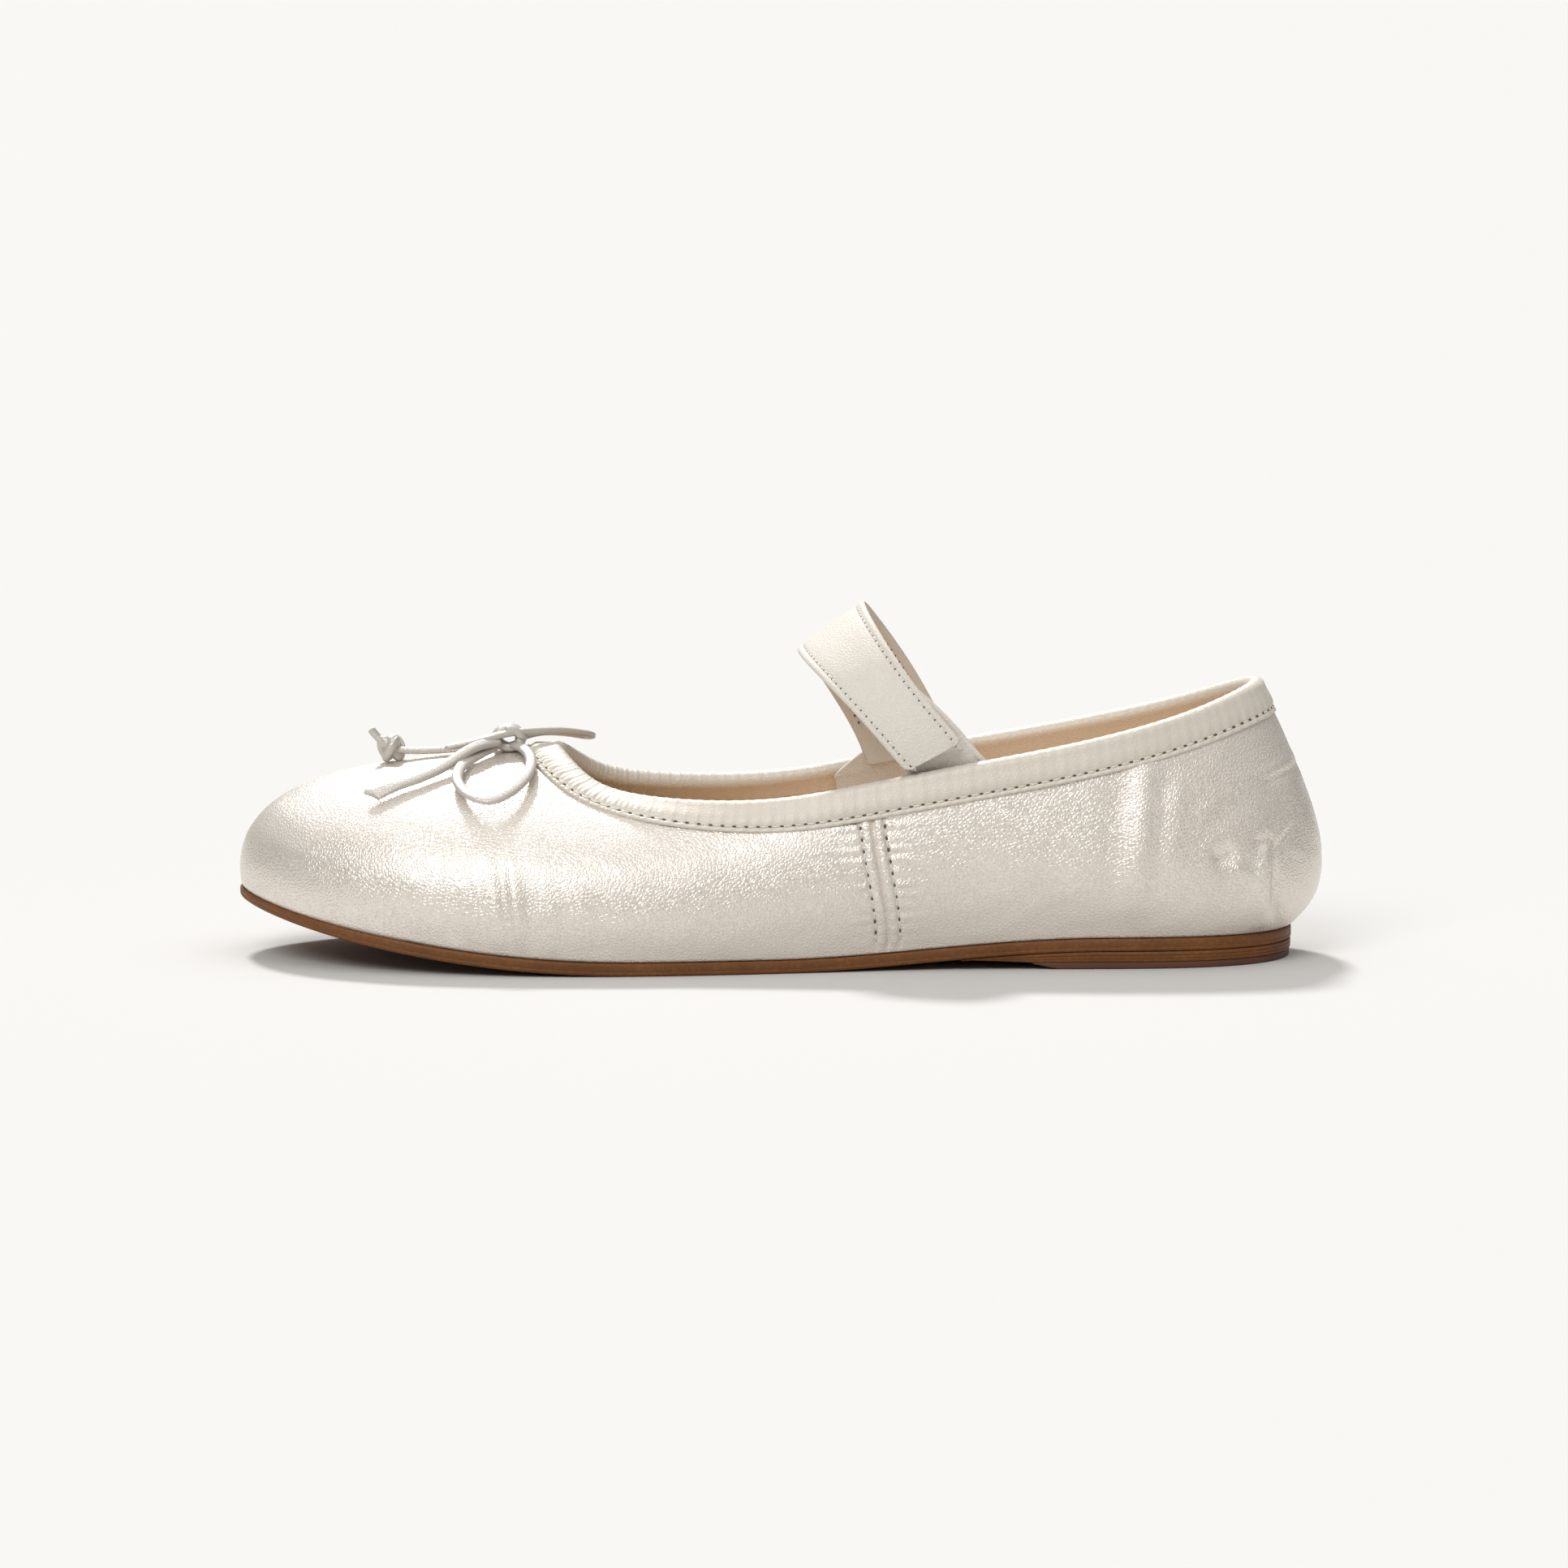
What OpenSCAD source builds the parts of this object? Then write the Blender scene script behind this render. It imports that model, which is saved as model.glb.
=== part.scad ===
// Ballet flat, left shoe: pearl leather upper on a thin low-heeled sole, with an instep
// strap that opens on a hook-and-loop tab and a small lace bow at the throat.
// Toe towards -X, heel towards +X, lateral side towards -Y, ground at z = 0.

/* [Shoe] */
// Overall length of the shoe
shoe_length = 250; // [240:1:260]

/* [Leather] */
// Thickness of the upper leather
upper_t = 1.2; // [1.0:0.1:1.4]
// Thickness of the lining leather
lining_t = 0.8; // [0.6:0.1:0.9]
// Thickness of the toe puff and heel counter at their thickest
stiffener_t = 0.8; // [0.4:0.1:1.0]
// Width of the lasting margin that is turned under the insole board
margin_w = 12; // [9:0.5:13]

/* [Topline] */
// Height of the binding leather below the cut edge
binding_h = 5.6; // [4.5:0.1:6.5]
// Thickness of the binding leather
binding_t = 0.8; // [0.6:0.1:0.9]
// Outer radius of the rolled edge
roll_r = 2.1; // [2.0:0.05:2.3]
// Radius of the drawstring inside the roll
drawstring_r = 0.95; // [0.7:0.05:1.0]

/* [Sole] */
// Thickness of the outsole
outsole_t = 3; // [2.5:0.1:3.5]
// Height of the heel under the outsole
heel_h = 4; // [3.5:0.1:5]
// Toe spring, the height of the toe tip above the ground
toe_spring = 13.5; // [10:0.5:15]
// Thickness of the rubber top piece under the heel
top_piece_t = 1.6; // [1.2:0.1:2]
// Thickness of the insole board
board_t = 1.5; // [1:0.1:2]
// Thickness of the sock lining
sock_t = 1; // [0.8:0.1:1.5]
// Height of the foam cushion under the heel
cushion_h = 2; // [1:0.1:3]

/* [Strap] */
// Width of the strap at its crest
strap_w = 19; // [16:0.5:20]
// Width of the strap at its loose end
strap_end_w = 14.5; // [12:0.5:17]
// Width of the tab under the strap end
tab_w = 18; // [15:0.5:19]
// Height of the tab above its fold
tab_h = 19; // [15:0.5:20]

/* [Bow] */
// Diameter of the lace
lace_d = 2.5; // [2:0.1:2.6]

/* [Hidden] */

k = shoe_length / 250;      // grading factor: every place below is given for a 250 mm shoe
cement = 0.05;              // glue line between two layers
per_station = 3;            // columns of facets between two stations of the last

pearl = [0.88, 0.85, 0.80];
ivory = [0.85, 0.82, 0.76];
beige = [0.80, 0.68, 0.54];
brown = [0.37, 0.21, 0.14];
board_grey = [0.55, 0.50, 0.44];

// ---------- The last ----------
// The outer skin of the upper is a fan of 24 profiles, one per station, that run from the
// feather line at the sole up to the cut edge at the topline. Each row holds
// [feather x, feather y, edge x, edge y, edge z, lower handle out, lower handle up,
//  upper handle out, upper handle down].
TOE = [-125.6, 4, -53.5, 2, 47.8, 4.5, 29.2, 35, 1.8];
LATERAL = [
    [-121, -12, -52, -6, 47, 5, 26.7, 31, 3.2],
    [-107, -27.5, -48, -14.5, 43.6, 6, 23.8, 26.8, 5],
    [-85, -38, -42, -21, 39.6, 6, 21, 20, 7],
    [-58, -42.5, -32, -26.5, 37.4, 6, 17, 14, 9],
    [-29, -41.5, -16, -30.5, 36.2, 5, 14, 9, 9],
    [0, -36.5, 2, -32, 36.4, 5, 13, 6, 10],
    [25, -31.5, 20, -31.5, 39.8, 5, 12, 4.5, 12],
    [50, -29, 44, -30.2, 44.2, 5, 12, 3.5, 14],
    [76, -29, 70, -28.5, 48.8, 6, 12, 4, 16],
    [99, -27, 93, -22.5, 54.4, 8, 12, 5.5, 17.5],
    [114.5, -17, 108, -12.5, 60, 12, 11.5, 8, 19]];
HEEL = [120, 0, 113.5, 0, 61.8, 17, 10, 10, 19];
MEDIAL = [
    [114.5, 17, 108, 12.5, 60, 12, 11.5, 8, 19],
    [99, 26.5, 93, 22, 54.4, 8, 12, 5.5, 17.5],
    [77, 28.5, 70, 27.5, 48.8, 6, 12, 4, 16],
    [51, 27, 44, 29, 44.2, 5, 12, 3.5, 14],
    [26, 26.5, 20, 30, 39.8, 5, 12, 4.5, 12],
    [1, 30, 2, 31, 36.4, 5, 13, 6, 10],
    [-28, 36, -16, 30.5, 36.2, 5, 14, 9, 9],
    [-57, 41.5, -32, 27.5, 37.4, 6, 17, 14, 9],
    [-84, 40, -42, 23.5, 39.6, 6, 21, 20, 7],
    [-106, 32, -48, 18, 43.6, 6, 23.8, 26.8, 5],
    [-121, 19.5, -52, 10, 47, 5, 26.7, 31, 3.2]];
LAST = k * concat([TOE], LATERAL, [HEEL], MEDIAL);
stations = len(LAST);       // the lateral side seam is station 7, the medial one is -7
heel_station = 12;
seam_station = 7;
// Fractions of the wall height that carry a row of points, up to the foot of the binding
WALL_ROWS = [0, 0.05, 0.16, 0.3, 0.45, 0.6, 0.75, 0.89, 1];

function clamp(x) = min(1, max(0, x));
function ease(x) = let (c = clamp(x)) c * c * (3 - 2 * c);
function unit(v) = v / norm(v);

// Height of the outsole's underside, and of its top where the upper is cemented on
function bottom_z(x) = toe_spring * clamp((-30 * k - x) / (95 * k)) ^ 2
    + heel_h * ease(x / (75 * k));
function sole_t(x) = outsole_t * (0.73 + 0.27 * clamp((x + 124 * k) / (40 * k)));
function feather_z(x) = bottom_z(x) + sole_t(x) + cement;

// Closed cubic B-spline through the stations, and its slope
function row(s) = LAST[(s + stations) % stations];
function spline(s) = let (i = floor(s), u = s - i)
    ((1 - u) ^ 3 * row(i - 1) + (3 * u ^ 3 - 6 * u ^ 2 + 4) * row(i)
    + (-3 * u ^ 3 + 3 * u ^ 2 + 3 * u + 1) * row(i + 1) + u ^ 3 * row(i + 2)) / 6;
function spline_slope(s) = let (i = floor(s), u = s - i)
    (-(1 - u) ^ 2 * row(i - 1) + (3 * u ^ 2 - 4 * u) * row(i)
    + (-3 * u ^ 2 + 2 * u + 1) * row(i + 1) + u ^ 2 * row(i + 2)) / 2;

// The four Bezier points of the profile at s, from the feather line to the cut edge
function profile(s) = let (v = spline(s), d = spline_slope(s),
    nf = unit([d[1], -d[0]]), nt = unit([d[3], -d[2]]), z0 = feather_z(v[0]))
    [[v[0], v[1], z0],
     [v[0] + v[5] * nf[0], v[1] + v[5] * nf[1], z0 + v[6]],
     [v[2] + v[7] * nt[0], v[3] + v[7] * nt[1], v[4] - v[8]],
     [v[2], v[3], v[4]]];
function bezier(p, t) = (1 - t) ^ 3 * p[0] + 3 * t * (1 - t) ^ 2 * p[1]
    + 3 * t ^ 2 * (1 - t) * p[2] + t ^ 3 * p[3];
function bezier_slope(p, t) = 3 * (1 - t) ^ 2 * (p[1] - p[0])
    + 6 * t * (1 - t) * (p[2] - p[1]) + 3 * t ^ 2 * (p[3] - p[2]);

// [point, outward normal, upward tangent] at heights ts of the profile at s
function frames(s, ts) = let (h = 0.01, a = profile(s - h), p = profile(s), b = profile(s + h))
    [for (t = ts) let (up = unit(bezier_slope(p, t)))
        [bezier(p, t), unit(cross(bezier(b, t) - bezier(a, t), up)), up]];
// Height t of the foot of the binding at s
function binding_foot(s) = let (p = profile(s)) 1 - binding_h / (3 * norm(p[3] - p[2]));
function wall_heights(s) = let (tb = binding_foot(s))
    concat([for (f = WALL_ROWS) f * tb], [(1 + tb) / 2, 1]);

// Point of the feather line moved out by off, at height up above the sole's top
function feather(s, off, up) = let (v = spline(s), d = spline_slope(s),
    n = unit([d[1], -d[0]]), p = [v[0] + off * n[0], v[1] + off * n[1]])
    [p[0], p[1], feather_z(p[0]) + up];

function columns(from, to) = [for (i = [from * per_station : to * per_station])
    i / per_station];
function half_columns(from, to) = [for (i = [from * per_station : to * per_station - 1])
    (i + 0.5) / per_station];

// ---------- Solids from point grids ----------
// Solid between an outer and an inner sheet of points [column][row]
module slab(outer, inner) {
    cols = len(outer);
    rows = len(outer[0]);
    half = cols * rows;
    function a(c, r) = c * rows + r;
    function b(c, r) = half + c * rows + r;
    last_c = cols - 1;
    top = rows - 1;
    walls = [for (c = [0 : cols - 2]) each concat(
        [for (r = [0 : rows - 2]) each [
            [a(c, r), a(c, r + 1), a(c + 1, r + 1)], [a(c, r), a(c + 1, r + 1), a(c + 1, r)],
            [b(c, r), b(c + 1, r + 1), b(c, r + 1)], [b(c, r), b(c + 1, r), b(c + 1, r + 1)]]],
        [[a(c, 0), a(c + 1, 0), b(c + 1, 0)], [a(c, 0), b(c + 1, 0), b(c, 0)],
         [a(c + 1, top), a(c, top), b(c, top)], [a(c + 1, top), b(c, top), b(c + 1, top)]])];
    ends = [for (r = [0 : rows - 2]) each [
        [a(0, r + 1), a(0, r), b(0, r)], [a(0, r + 1), b(0, r), b(0, r + 1)],
        [a(last_c, r), a(last_c, r + 1), b(last_c, r + 1)],
        [a(last_c, r), b(last_c, r + 1), b(last_c, r)]]];
    polyhedron([each [for (c = outer) each c], each [for (c = inner) each c]],
        concat(walls, ends));
}

// Solid through a stack of rings, lowest first; each ring has the same even number of points
// and is closed across, point by point, by its caps
module stack(rings) {
    n = len(rings[0]);
    last_ring = (len(rings) - 1) * n;
    sides = [for (r = [0 : len(rings) - 2]) for (i = [0 : n - 1])
        let (j = (i + 1) % n, lo = r * n, hi = lo + n)
        each [[lo + i, hi + i, hi + j], [lo + i, hi + j, lo + j]]];
    caps = [for (i = [0 : n / 2 - 2]) let (m = n - 1 - i) each [
        [i, i + 1, m - 1], [i, m - 1, m],
        [last_ring + i, last_ring + m - 1, last_ring + i + 1],
        [last_ring + i, last_ring + m, last_ring + m - 1]]];
    polyhedron([for (r = rings) each r], concat(sides, caps));
}

// Solid through closed loops of points, one behind the other
module sweep(loops) {
    m = len(loops[0]);
    e = (len(loops) - 1) * m;
    sides = [for (c = [0 : len(loops) - 2]) for (i = [0 : m - 1])
        let (j = (i + 1) % m, a = c * m, b = a + m)
        each [[a + i, a + j, b + j], [a + i, b + j, b + i]]];
    ends = [for (i = [1 : m - 2]) each [[0, i + 1, i], [e, e + i, e + i + 1]]];
    polyhedron([for (l = loops) each l], concat(sides, ends));
}

// ---------- Layers of the upper ----------
// Where the toe puff and the heel counter lie: stations either side of the toe or heel, and
// the first and last rows of the wall that they cover
puff_reach = 3;
puff_rows = [1, 5];
counter_reach = 3;
counter_rows = [1, 6];
skived = 0.15;              // thickness left at the skived edge of a stiffener

function stiffener(reach, from_mid, span, r) =
    from_mid > reach + 0.01 || r < span[0] || r > span[1] ? 0
    : skived + (stiffener_t - skived) * ease((reach - from_mid) / 1.2)
        * ease((span[1] - r) / 2);
function wrap(s) = s > heel_station ? s - stations : s;
function padding(s, r) = max(
    stiffener(puff_reach, abs(wrap((s + stations) % stations)), puff_rows, r),
    stiffener(counter_reach, abs((s + stations) % stations - heel_station), counter_rows, r));

// Rows of the wall, from the feather corner to the cut edge, at depth under the skin
function wall(s, depth, padded) = let (f = frames(s, wall_heights(s)))
    [for (r = [0 : len(f) - 1]) r == 0 ? feather(s, -depth, depth)
        : f[r][0] - (depth + (padded ? padding(s, r) : 0)) * f[r][1]];
// The same with the lasting margin in front, turned under the foot
function lasted(s, depth, padded) = concat([feather(s, -margin_w * k, depth)],
    wall(s, depth, padded));

module upper_piece(from, to)
    slab([for (s = columns(from, to)) lasted(s, 0, false)],
        [for (s = columns(from, to)) lasted(s, upper_t, false)]);
module lining_piece(from, to)
    slab([for (s = columns(from, to)) lasted(s, upper_t, true)],
        [for (s = columns(from, to)) lasted(s, upper_t + lining_t, true)]);
module stiffener_piece(middle, reach, span) {
    cols = columns(middle - reach, middle + reach);
    slab([for (s = cols) let (w = wall(s, upper_t, false))
            [for (r = [span[0] : span[1]]) w[r]]],
        [for (s = cols) let (w = wall(s, upper_t, true))
            [for (r = [span[0] : span[1]]) w[r]]]);
}

module vamp() color(pearl) upper_piece(-seam_station, seam_station);
module lateral_quarter() color(pearl) upper_piece(seam_station, heel_station);
module medial_quarter() color(pearl)
    upper_piece(heel_station, stations - seam_station);
lining_seam = 6;
module vamp_lining() color(beige) lining_piece(-lining_seam, lining_seam);
module lateral_quarter_lining() color(beige) lining_piece(lining_seam, heel_station);
module medial_quarter_lining() color(beige)
    lining_piece(heel_station, stations - lining_seam);
module toe_puff() color(board_grey) stiffener_piece(0, puff_reach, puff_rows);
module heel_counter() color(board_grey)
    stiffener_piece(heel_station, counter_reach, counter_rows);

// ---------- Topline ----------
wall_t = upper_t + lining_t;
// Place in the plane across the cut edge: out along the normal, up along the wall
function edge_point(f, out, up) = f[0] + out * f[1] + up * f[2];
roll_out = -wall_t / 2;                     // centre of the roll, from the skin
roll_up = 1.3;                              // and above the cut edge
bore_r = roll_r - binding_t - 0.05;         // room for the drawstring
inner_face = wall_t + 2 * cement;           // where the binding lies on the lining
ROLL_ANGLES = [-15, 22, 60, 98, 136, 172, 200];
function round_point(f, r, a) = edge_point(f, roll_out + r * cos(a), roll_up + r * sin(a));

function binding_faces(s) = let (t = wall_heights(s), n = len(t),
    f = frames(s, [t[n - 3], t[n - 2], 1]))
    [concat([edge_point(f[0], binding_t, 0), edge_point(f[1], binding_t, 0)],
        [for (a = ROLL_ANGLES) round_point(f[2], roll_r, a)],
        [edge_point(f[1], -inner_face - binding_t, 0),
         edge_point(f[0], -inner_face - binding_t, 0)]),
     concat([edge_point(f[0], cement, 0), edge_point(f[1], cement, 0),
         edge_point(f[2], cement, 0)],
        [for (a = [22, 60, 98, 136, 172]) round_point(f[2], bore_r, a)],
        [edge_point(f[2], -inner_face, 0), edge_point(f[1], -inner_face, 0),
         edge_point(f[0], -inner_face, 0)])];

// The binding runs round the topline from one side of the throat to the other, and leaves a
// small gap there for the ends of the drawstring
throat_gap = 1 / per_station;
binding_columns = columns(throat_gap, stations - throat_gap);
module topline_binding() color(ivory) {
    faces = [for (s = binding_columns) binding_faces(s)];
    slab([for (f = faces) f[0]], [for (f = faces) f[1]]);
}
module drawstring() color(ivory) sweep([for (s = binding_columns)
    let (f = frames(s, [1])[0]) [for (a = [0 : 60 : 300]) round_point(f, drawstring_r, a)]]);

// ---------- Bottom ----------
full_ring = half_columns(0, stations);
// Ring of the feather line moved out by off; height is a function of x
function ring(ss, off, height) = [for (s = ss) let (p = feather(s, off, 0))
    [p[0], p[1], height(p[0])]];
function above_feather(up) = function (x) feather_z(x) + up;

edge_round = 0.6;           // softened lower edge of the outsole
welt = 0.4;                 // the outsole stands this far out beyond the upper
module outsole() color(brown) stack([
    ring(full_ring, -edge_round, function (x) bottom_z(x)),
    ring(full_ring, welt, function (x) bottom_z(x) + edge_round),
    ring(full_ring, welt, function (x) feather_z(x) - cement - welt),
    ring(full_ring, 0, function (x) feather_z(x) - cement)]);

// The heel is a wedge that starts under the waist and a flat rubber top piece
breast_station = 23 / per_station;
wedge_run = 16 * k;         // distance over which the wedge reaches its full height
wedge_edge = 0.3;           // thickness of the wedge at its skived front edge
heel_taper = 0.2;           // the heel narrows by this much on its way down
breast_x = spline(breast_station)[0];
heel_ring = half_columns(breast_station, stations - breast_station);
function lift_z(x) = min(bottom_z(x) - wedge_edge,
    top_piece_t + (bottom_z(breast_x) - top_piece_t) * clamp(1 - (x - breast_x) / wedge_run));
module heel_lift() color(brown) stack([
    ring(heel_ring, -heel_taper, function (x) lift_z(x)),
    ring(heel_ring, heel_taper, function (x) bottom_z(x) - cement)]);
module heel_top_piece() color(brown) {
    outline = [for (s = heel_ring) let (p = feather(s, 0, 0)) [p[0], p[1]]];
    front = breast_x + wedge_run;
    run = 6 * k;            // sloped front edge of the top piece
    difference() {
        linear_extrude(top_piece_t - cement) polygon(outline);
        rotate([90, 0, 0]) linear_extrude(100 * k, center = true)
            polygon([[breast_x - 20, -1], [front + run, -1], [front + run, 0],
                [front, top_piece_t], [breast_x - 20, top_piece_t]]);
    }
}

shank_w = 12;
shank_t = 1.2;
shank_bed = 0.3;            // cement under the shank
module shank() color("silver") sweep([for (x = [0 : 10 : 90]) let (z = feather_z(x * k) + shank_bed)
    [for (c = [[-1, 0], [-1, 1], [1, 1], [1, 0]])
        [x * k, -1 * k + c[0] * shank_w / 2, z + c[1] * shank_t]]]);

filler_station = 5;
module bottom_filler() color(board_grey) {
    inside = half_columns(-filler_station, filler_station);
    stack([ring(inside, -margin_w * k - 0.5, above_feather(cement)),
        ring(inside, -margin_w * k - 0.5, above_feather(wall_t - cement))]);
}

board_up = wall_t + 2 * cement;
board_in = -wall_t - 0.3;   // edge of the board, from the feather line
module insole_board() color(board_grey) stack([
    ring(full_ring, board_in, above_feather(board_up)),
    ring(full_ring, board_in, above_feather(board_up + board_t))]);

cushion_station = 8;
cushion_in = -4;            // edge of the cushion, from the feather line
cushion_edge = 0.1;         // thickness that it is skived to
function cushion_up(x) = cushion_h * ease((x - 44 * k) / (22 * k));
sock_up = board_up + board_t + cement;
module heel_cushion() color("khaki") {
    pad_ring = half_columns(cushion_station, stations - cushion_station);
    stack([ring(pad_ring, cushion_in, above_feather(sock_up)),
        ring(pad_ring, cushion_in, function (x) feather_z(x) + sock_up
            + max(cushion_edge, cushion_up(x) - cement))]);
}
sock_in = -wall_t - 1;
function under_sock(x) = feather_z(x) + sock_up + cushion_up(x) + cement;
module sock_lining() color(beige) stack([
    ring(full_ring, sock_in, function (x) under_sock(x)),
    ring(full_ring, sock_in + 0.2, function (x) under_sock(x) + sock_t)]);

// ---------- Strap ----------
strap_t = 1.0;
strap_lining_t = 0.6;
tape_t = 0.7;
lean = 41;                  // forward lean of the arch, degrees from upright
lateral_x = 38 * k;
medial_pivot = [29.5 * k, 24.9 * k, 46.6 * k];
lateral_pivot = [lateral_x, -26 * k, 46.8 * k];
fold_slope = 10;            // slope of the two fold lines, as the topline rises
crest_slope = 36;           // slope of the strap's width at its crest, and at its loose end
end_slope = 29;
strap_base_w = 20.5;        // the strap is cut on the skew where it is stitched in
// Place on the leaning plane of the arch, y across the foot and q up the lean
function on_arch(y, q) = [lateral_x - q * sin(lean) * k, y * k,
    46 * k + q * cos(lean) * k];
MEDIAL_LEG = [medial_pivot, k * [25.5, 26.5, 57], on_arch(20, 38.8), on_arch(0, 38.8)];
LATERAL_LEG = [on_arch(0, 38.8), on_arch(-21, 38.8), on_arch(-32, 21), on_arch(-30.8, 5.5)];
leg_steps = 9;
corner_r = 1.5;             // rounded corners of the loose ends
CORNER = [for (a = [0, 30, 60, 80]) [corner_r * sin(a), corner_r * (1 - cos(a))]];

// One row per place along the strap: [centre, slope of the width, width]
function strap_place(i) = let (t = i / leg_steps)
    i <= leg_steps
    ? [bezier(MEDIAL_LEG, t), fold_slope + (crest_slope - fold_slope) * ease(t * 1.3),
        strap_base_w + (strap_w - strap_base_w) * ease(t * 1.3)]
    : [bezier(LATERAL_LEG, t - 1), crest_slope + (end_slope - crest_slope) * ease(t - 1),
        strap_w + (strap_end_w - strap_w) * ease((t - 1) * 1.2)];
function strap_tip(c) = let (last = strap_place(2 * leg_steps),
    along = unit(LATERAL_LEG[3] - LATERAL_LEG[2]))
    [last[0] + c[0] * along, last[1], last[2] - 2 * c[1]];
STRAP = concat([for (i = [0 : 2 * leg_steps]) strap_place(i)],
    [for (i = [1 : len(CORNER) - 1]) strap_tip(CORNER[i])]);

function width_way(slope) = [cos(slope), 0, sin(slope)];
function along(path, i) = unit(path[min(i + 1, len(path) - 1)][0] - path[max(i - 1, 0)][0]);
// Sheet of points at height up above the middle layer of a band, between places from and to
function band(path, from, to, up, narrower = 0) = [for (i = [from : to])
    let (w = width_way(path[i][1]), face = unit(cross(along(path, i), w)),
        reach = (path[i][2] - narrower) / 2)
    [for (j = [-1, -0.5, 0.5, 1]) path[i][0] + j * reach * w + up * face]];

strap_end = len(STRAP) - 1;
lining_inset = 0.6;         // the linings are cut this much narrower
tape_inset = 5;             // and the tapes this much
module strap_outer() color(ivory)
    slab(band(STRAP, 0, strap_end, strap_t), band(STRAP, 0, strap_end, 0));
module strap_lining() color(beige)
    slab(band(STRAP, 0, strap_end, -cement, lining_inset),
        band(STRAP, 0, strap_end, -strap_lining_t, lining_inset));
hook_from = 2 * leg_steps - 2;
module hook_tape() color("white")
    slab(band(STRAP, hook_from, 2 * leg_steps, -strap_lining_t - cement, tape_inset),
        band(STRAP, hook_from, 2 * leg_steps, -strap_lining_t - tape_t, tape_inset));

// The tab stands inside the loose end of the strap; its path leans with the arch
tab_t = 0.9;
tab_lining_t = 0.6;
tab_bow = [-0.23, 0.0175];  // how the tab leans out from its fold, then in under the strap
tab_rise = 0.9;             // height gained for each millimetre of tab
tab_taper = 6;              // the tab's end is this much narrower than its fold
tab_sweep = 0.008;          // forward sweep that keeps the end of the tab behind the strap
function tab_place(h) = let (f = h / tab_h)
    [lateral_pivot + k * [-h * sin(lean) - tab_sweep * h ^ 2,
        tab_bow[0] * h + tab_bow[1] * h ^ 2, tab_rise * h],
     fold_slope + (end_slope - fold_slope) * ease(1.35 * f), tab_w - tab_taper * f];
tab_steps = 6;
TAB = concat([for (i = [0 : tab_steps]) tab_place(i * (tab_h - corner_r) / tab_steps)],
    [for (i = [1 : len(CORNER) - 1]) let (p = tab_place(tab_h - corner_r + CORNER[i][0]))
        [p[0], p[1], p[2] - 2 * CORNER[i][1]]]);
// The tab runs upwards, so its outer face is on the other side of the band
module tab_outer() color(ivory)
    slab(band(TAB, 0, len(TAB) - 1, 0), band(TAB, 0, len(TAB) - 1, -tab_t));
module tab_lining() color(beige)
    slab(band(TAB, 0, len(TAB) - 1, tab_lining_t, lining_inset),
        band(TAB, 0, len(TAB) - 1, cement, lining_inset));
module loop_tape() color("white")
    slab(band(TAB, 1, tab_steps - 2, -tab_t - cement, tape_inset),
        band(TAB, 1, tab_steps - 2, -tab_t - tape_t, tape_inset));

// The anchors are tongues stitched flat to the inside of the wall, under each fold line
anchor_t = 1;
anchor_gap = 0.15;
anchor_drop = 1.2;          // the tongue stops this far under its fold line
function anchor_line(s, out) = let (t = wall_heights(s), f = frames(s, [t[5], t[7], 1]),
    under = -wall_t - anchor_gap - out, proud = -wall_t - binding_t - 0.6 - out)
    [edge_point(f[0], under, 0), edge_point(f[1], under, 0), edge_point(f[2], proud, -4.6),
        edge_point(f[2], proud, 0), edge_point(f[2], proud, 2)];
module anchor(ss, pivot, slope, reach) {
    top = [for (i = [0 : len(ss) - 1])
        pivot + (2 * i / (len(ss) - 1) - 1) * reach * width_way(slope) - [0, 0, anchor_drop]];
    inwards = pivot[1] > 0 ? -1 : 1;
    slab([for (i = [0 : len(ss) - 1]) concat(anchor_line(ss[i], 0),
            [top[i] - [0, inwards * anchor_t / 2, 0]])],
        [for (i = [0 : len(ss) - 1]) concat(anchor_line(ss[i], anchor_t),
            [top[i] + [0, inwards * anchor_t / 2, 0]])]);
}
module strap_anchor() color(ivory)
    anchor([for (i = [0 : 5]) 16.2 + 0.235 * i], medial_pivot, fold_slope + 180,
        strap_base_w / 2);
module tab_anchor() color(ivory)
    anchor([for (i = [0 : 4]) 7.36 + 0.2 * i], lateral_pivot, fold_slope, tab_w / 2);

// ---------- Bow ----------
// Routes of the lace, along the middle of the cord
LOOP_LATERAL = k * [[-61, -3, 48.8], [-58.2, -7, 48], [-56.6, -13, 46.4], [-57, -19.8, 44],
    [-60, -25.8, 41], [-65, -29.2, 38.9], [-70, -27.2, 39.8], [-73, -21.5, 42.3],
    [-72.4, -14.5, 45], [-69, -8.5, 46.8], [-65, -3.5, 48.5]];
LOOP_MEDIAL = k * [[-60, 2, 49.8], [-55, 6, 50.6], [-50, 11, 50], [-45.6, 14.5, 49],
    [-43.6, 13.2, 49], [-45, 9.5, 50], [-50, 4.5, 51.2], [-56, 0, 51.6], [-62, -3.5, 51.4],
    [-69, -6, 49.8], [-76.5, -7, 48.2]];
TAIL_LATERAL = k * [[-64, -4.5, 49.7], [-69, -8.6, 48.9], [-73, -12, 47], [-77, -15.2, 44.6],
    [-82, -18, 42.6], [-87.5, -19.8, 40.9], [-93, -21, 39]];
TAIL_KNOTTED = k * [[-64, 1.5, 48.7], [-70, 1.5, 47.8], [-76, 1, 47.2], [-82, 1, 46.9],
    [-86.5, 1, 47], [-90, 1.5, 48], [-92.2, 2, 49.7], [-94, 2.4, 51.7]];
steps_per_point = 2;

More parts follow.
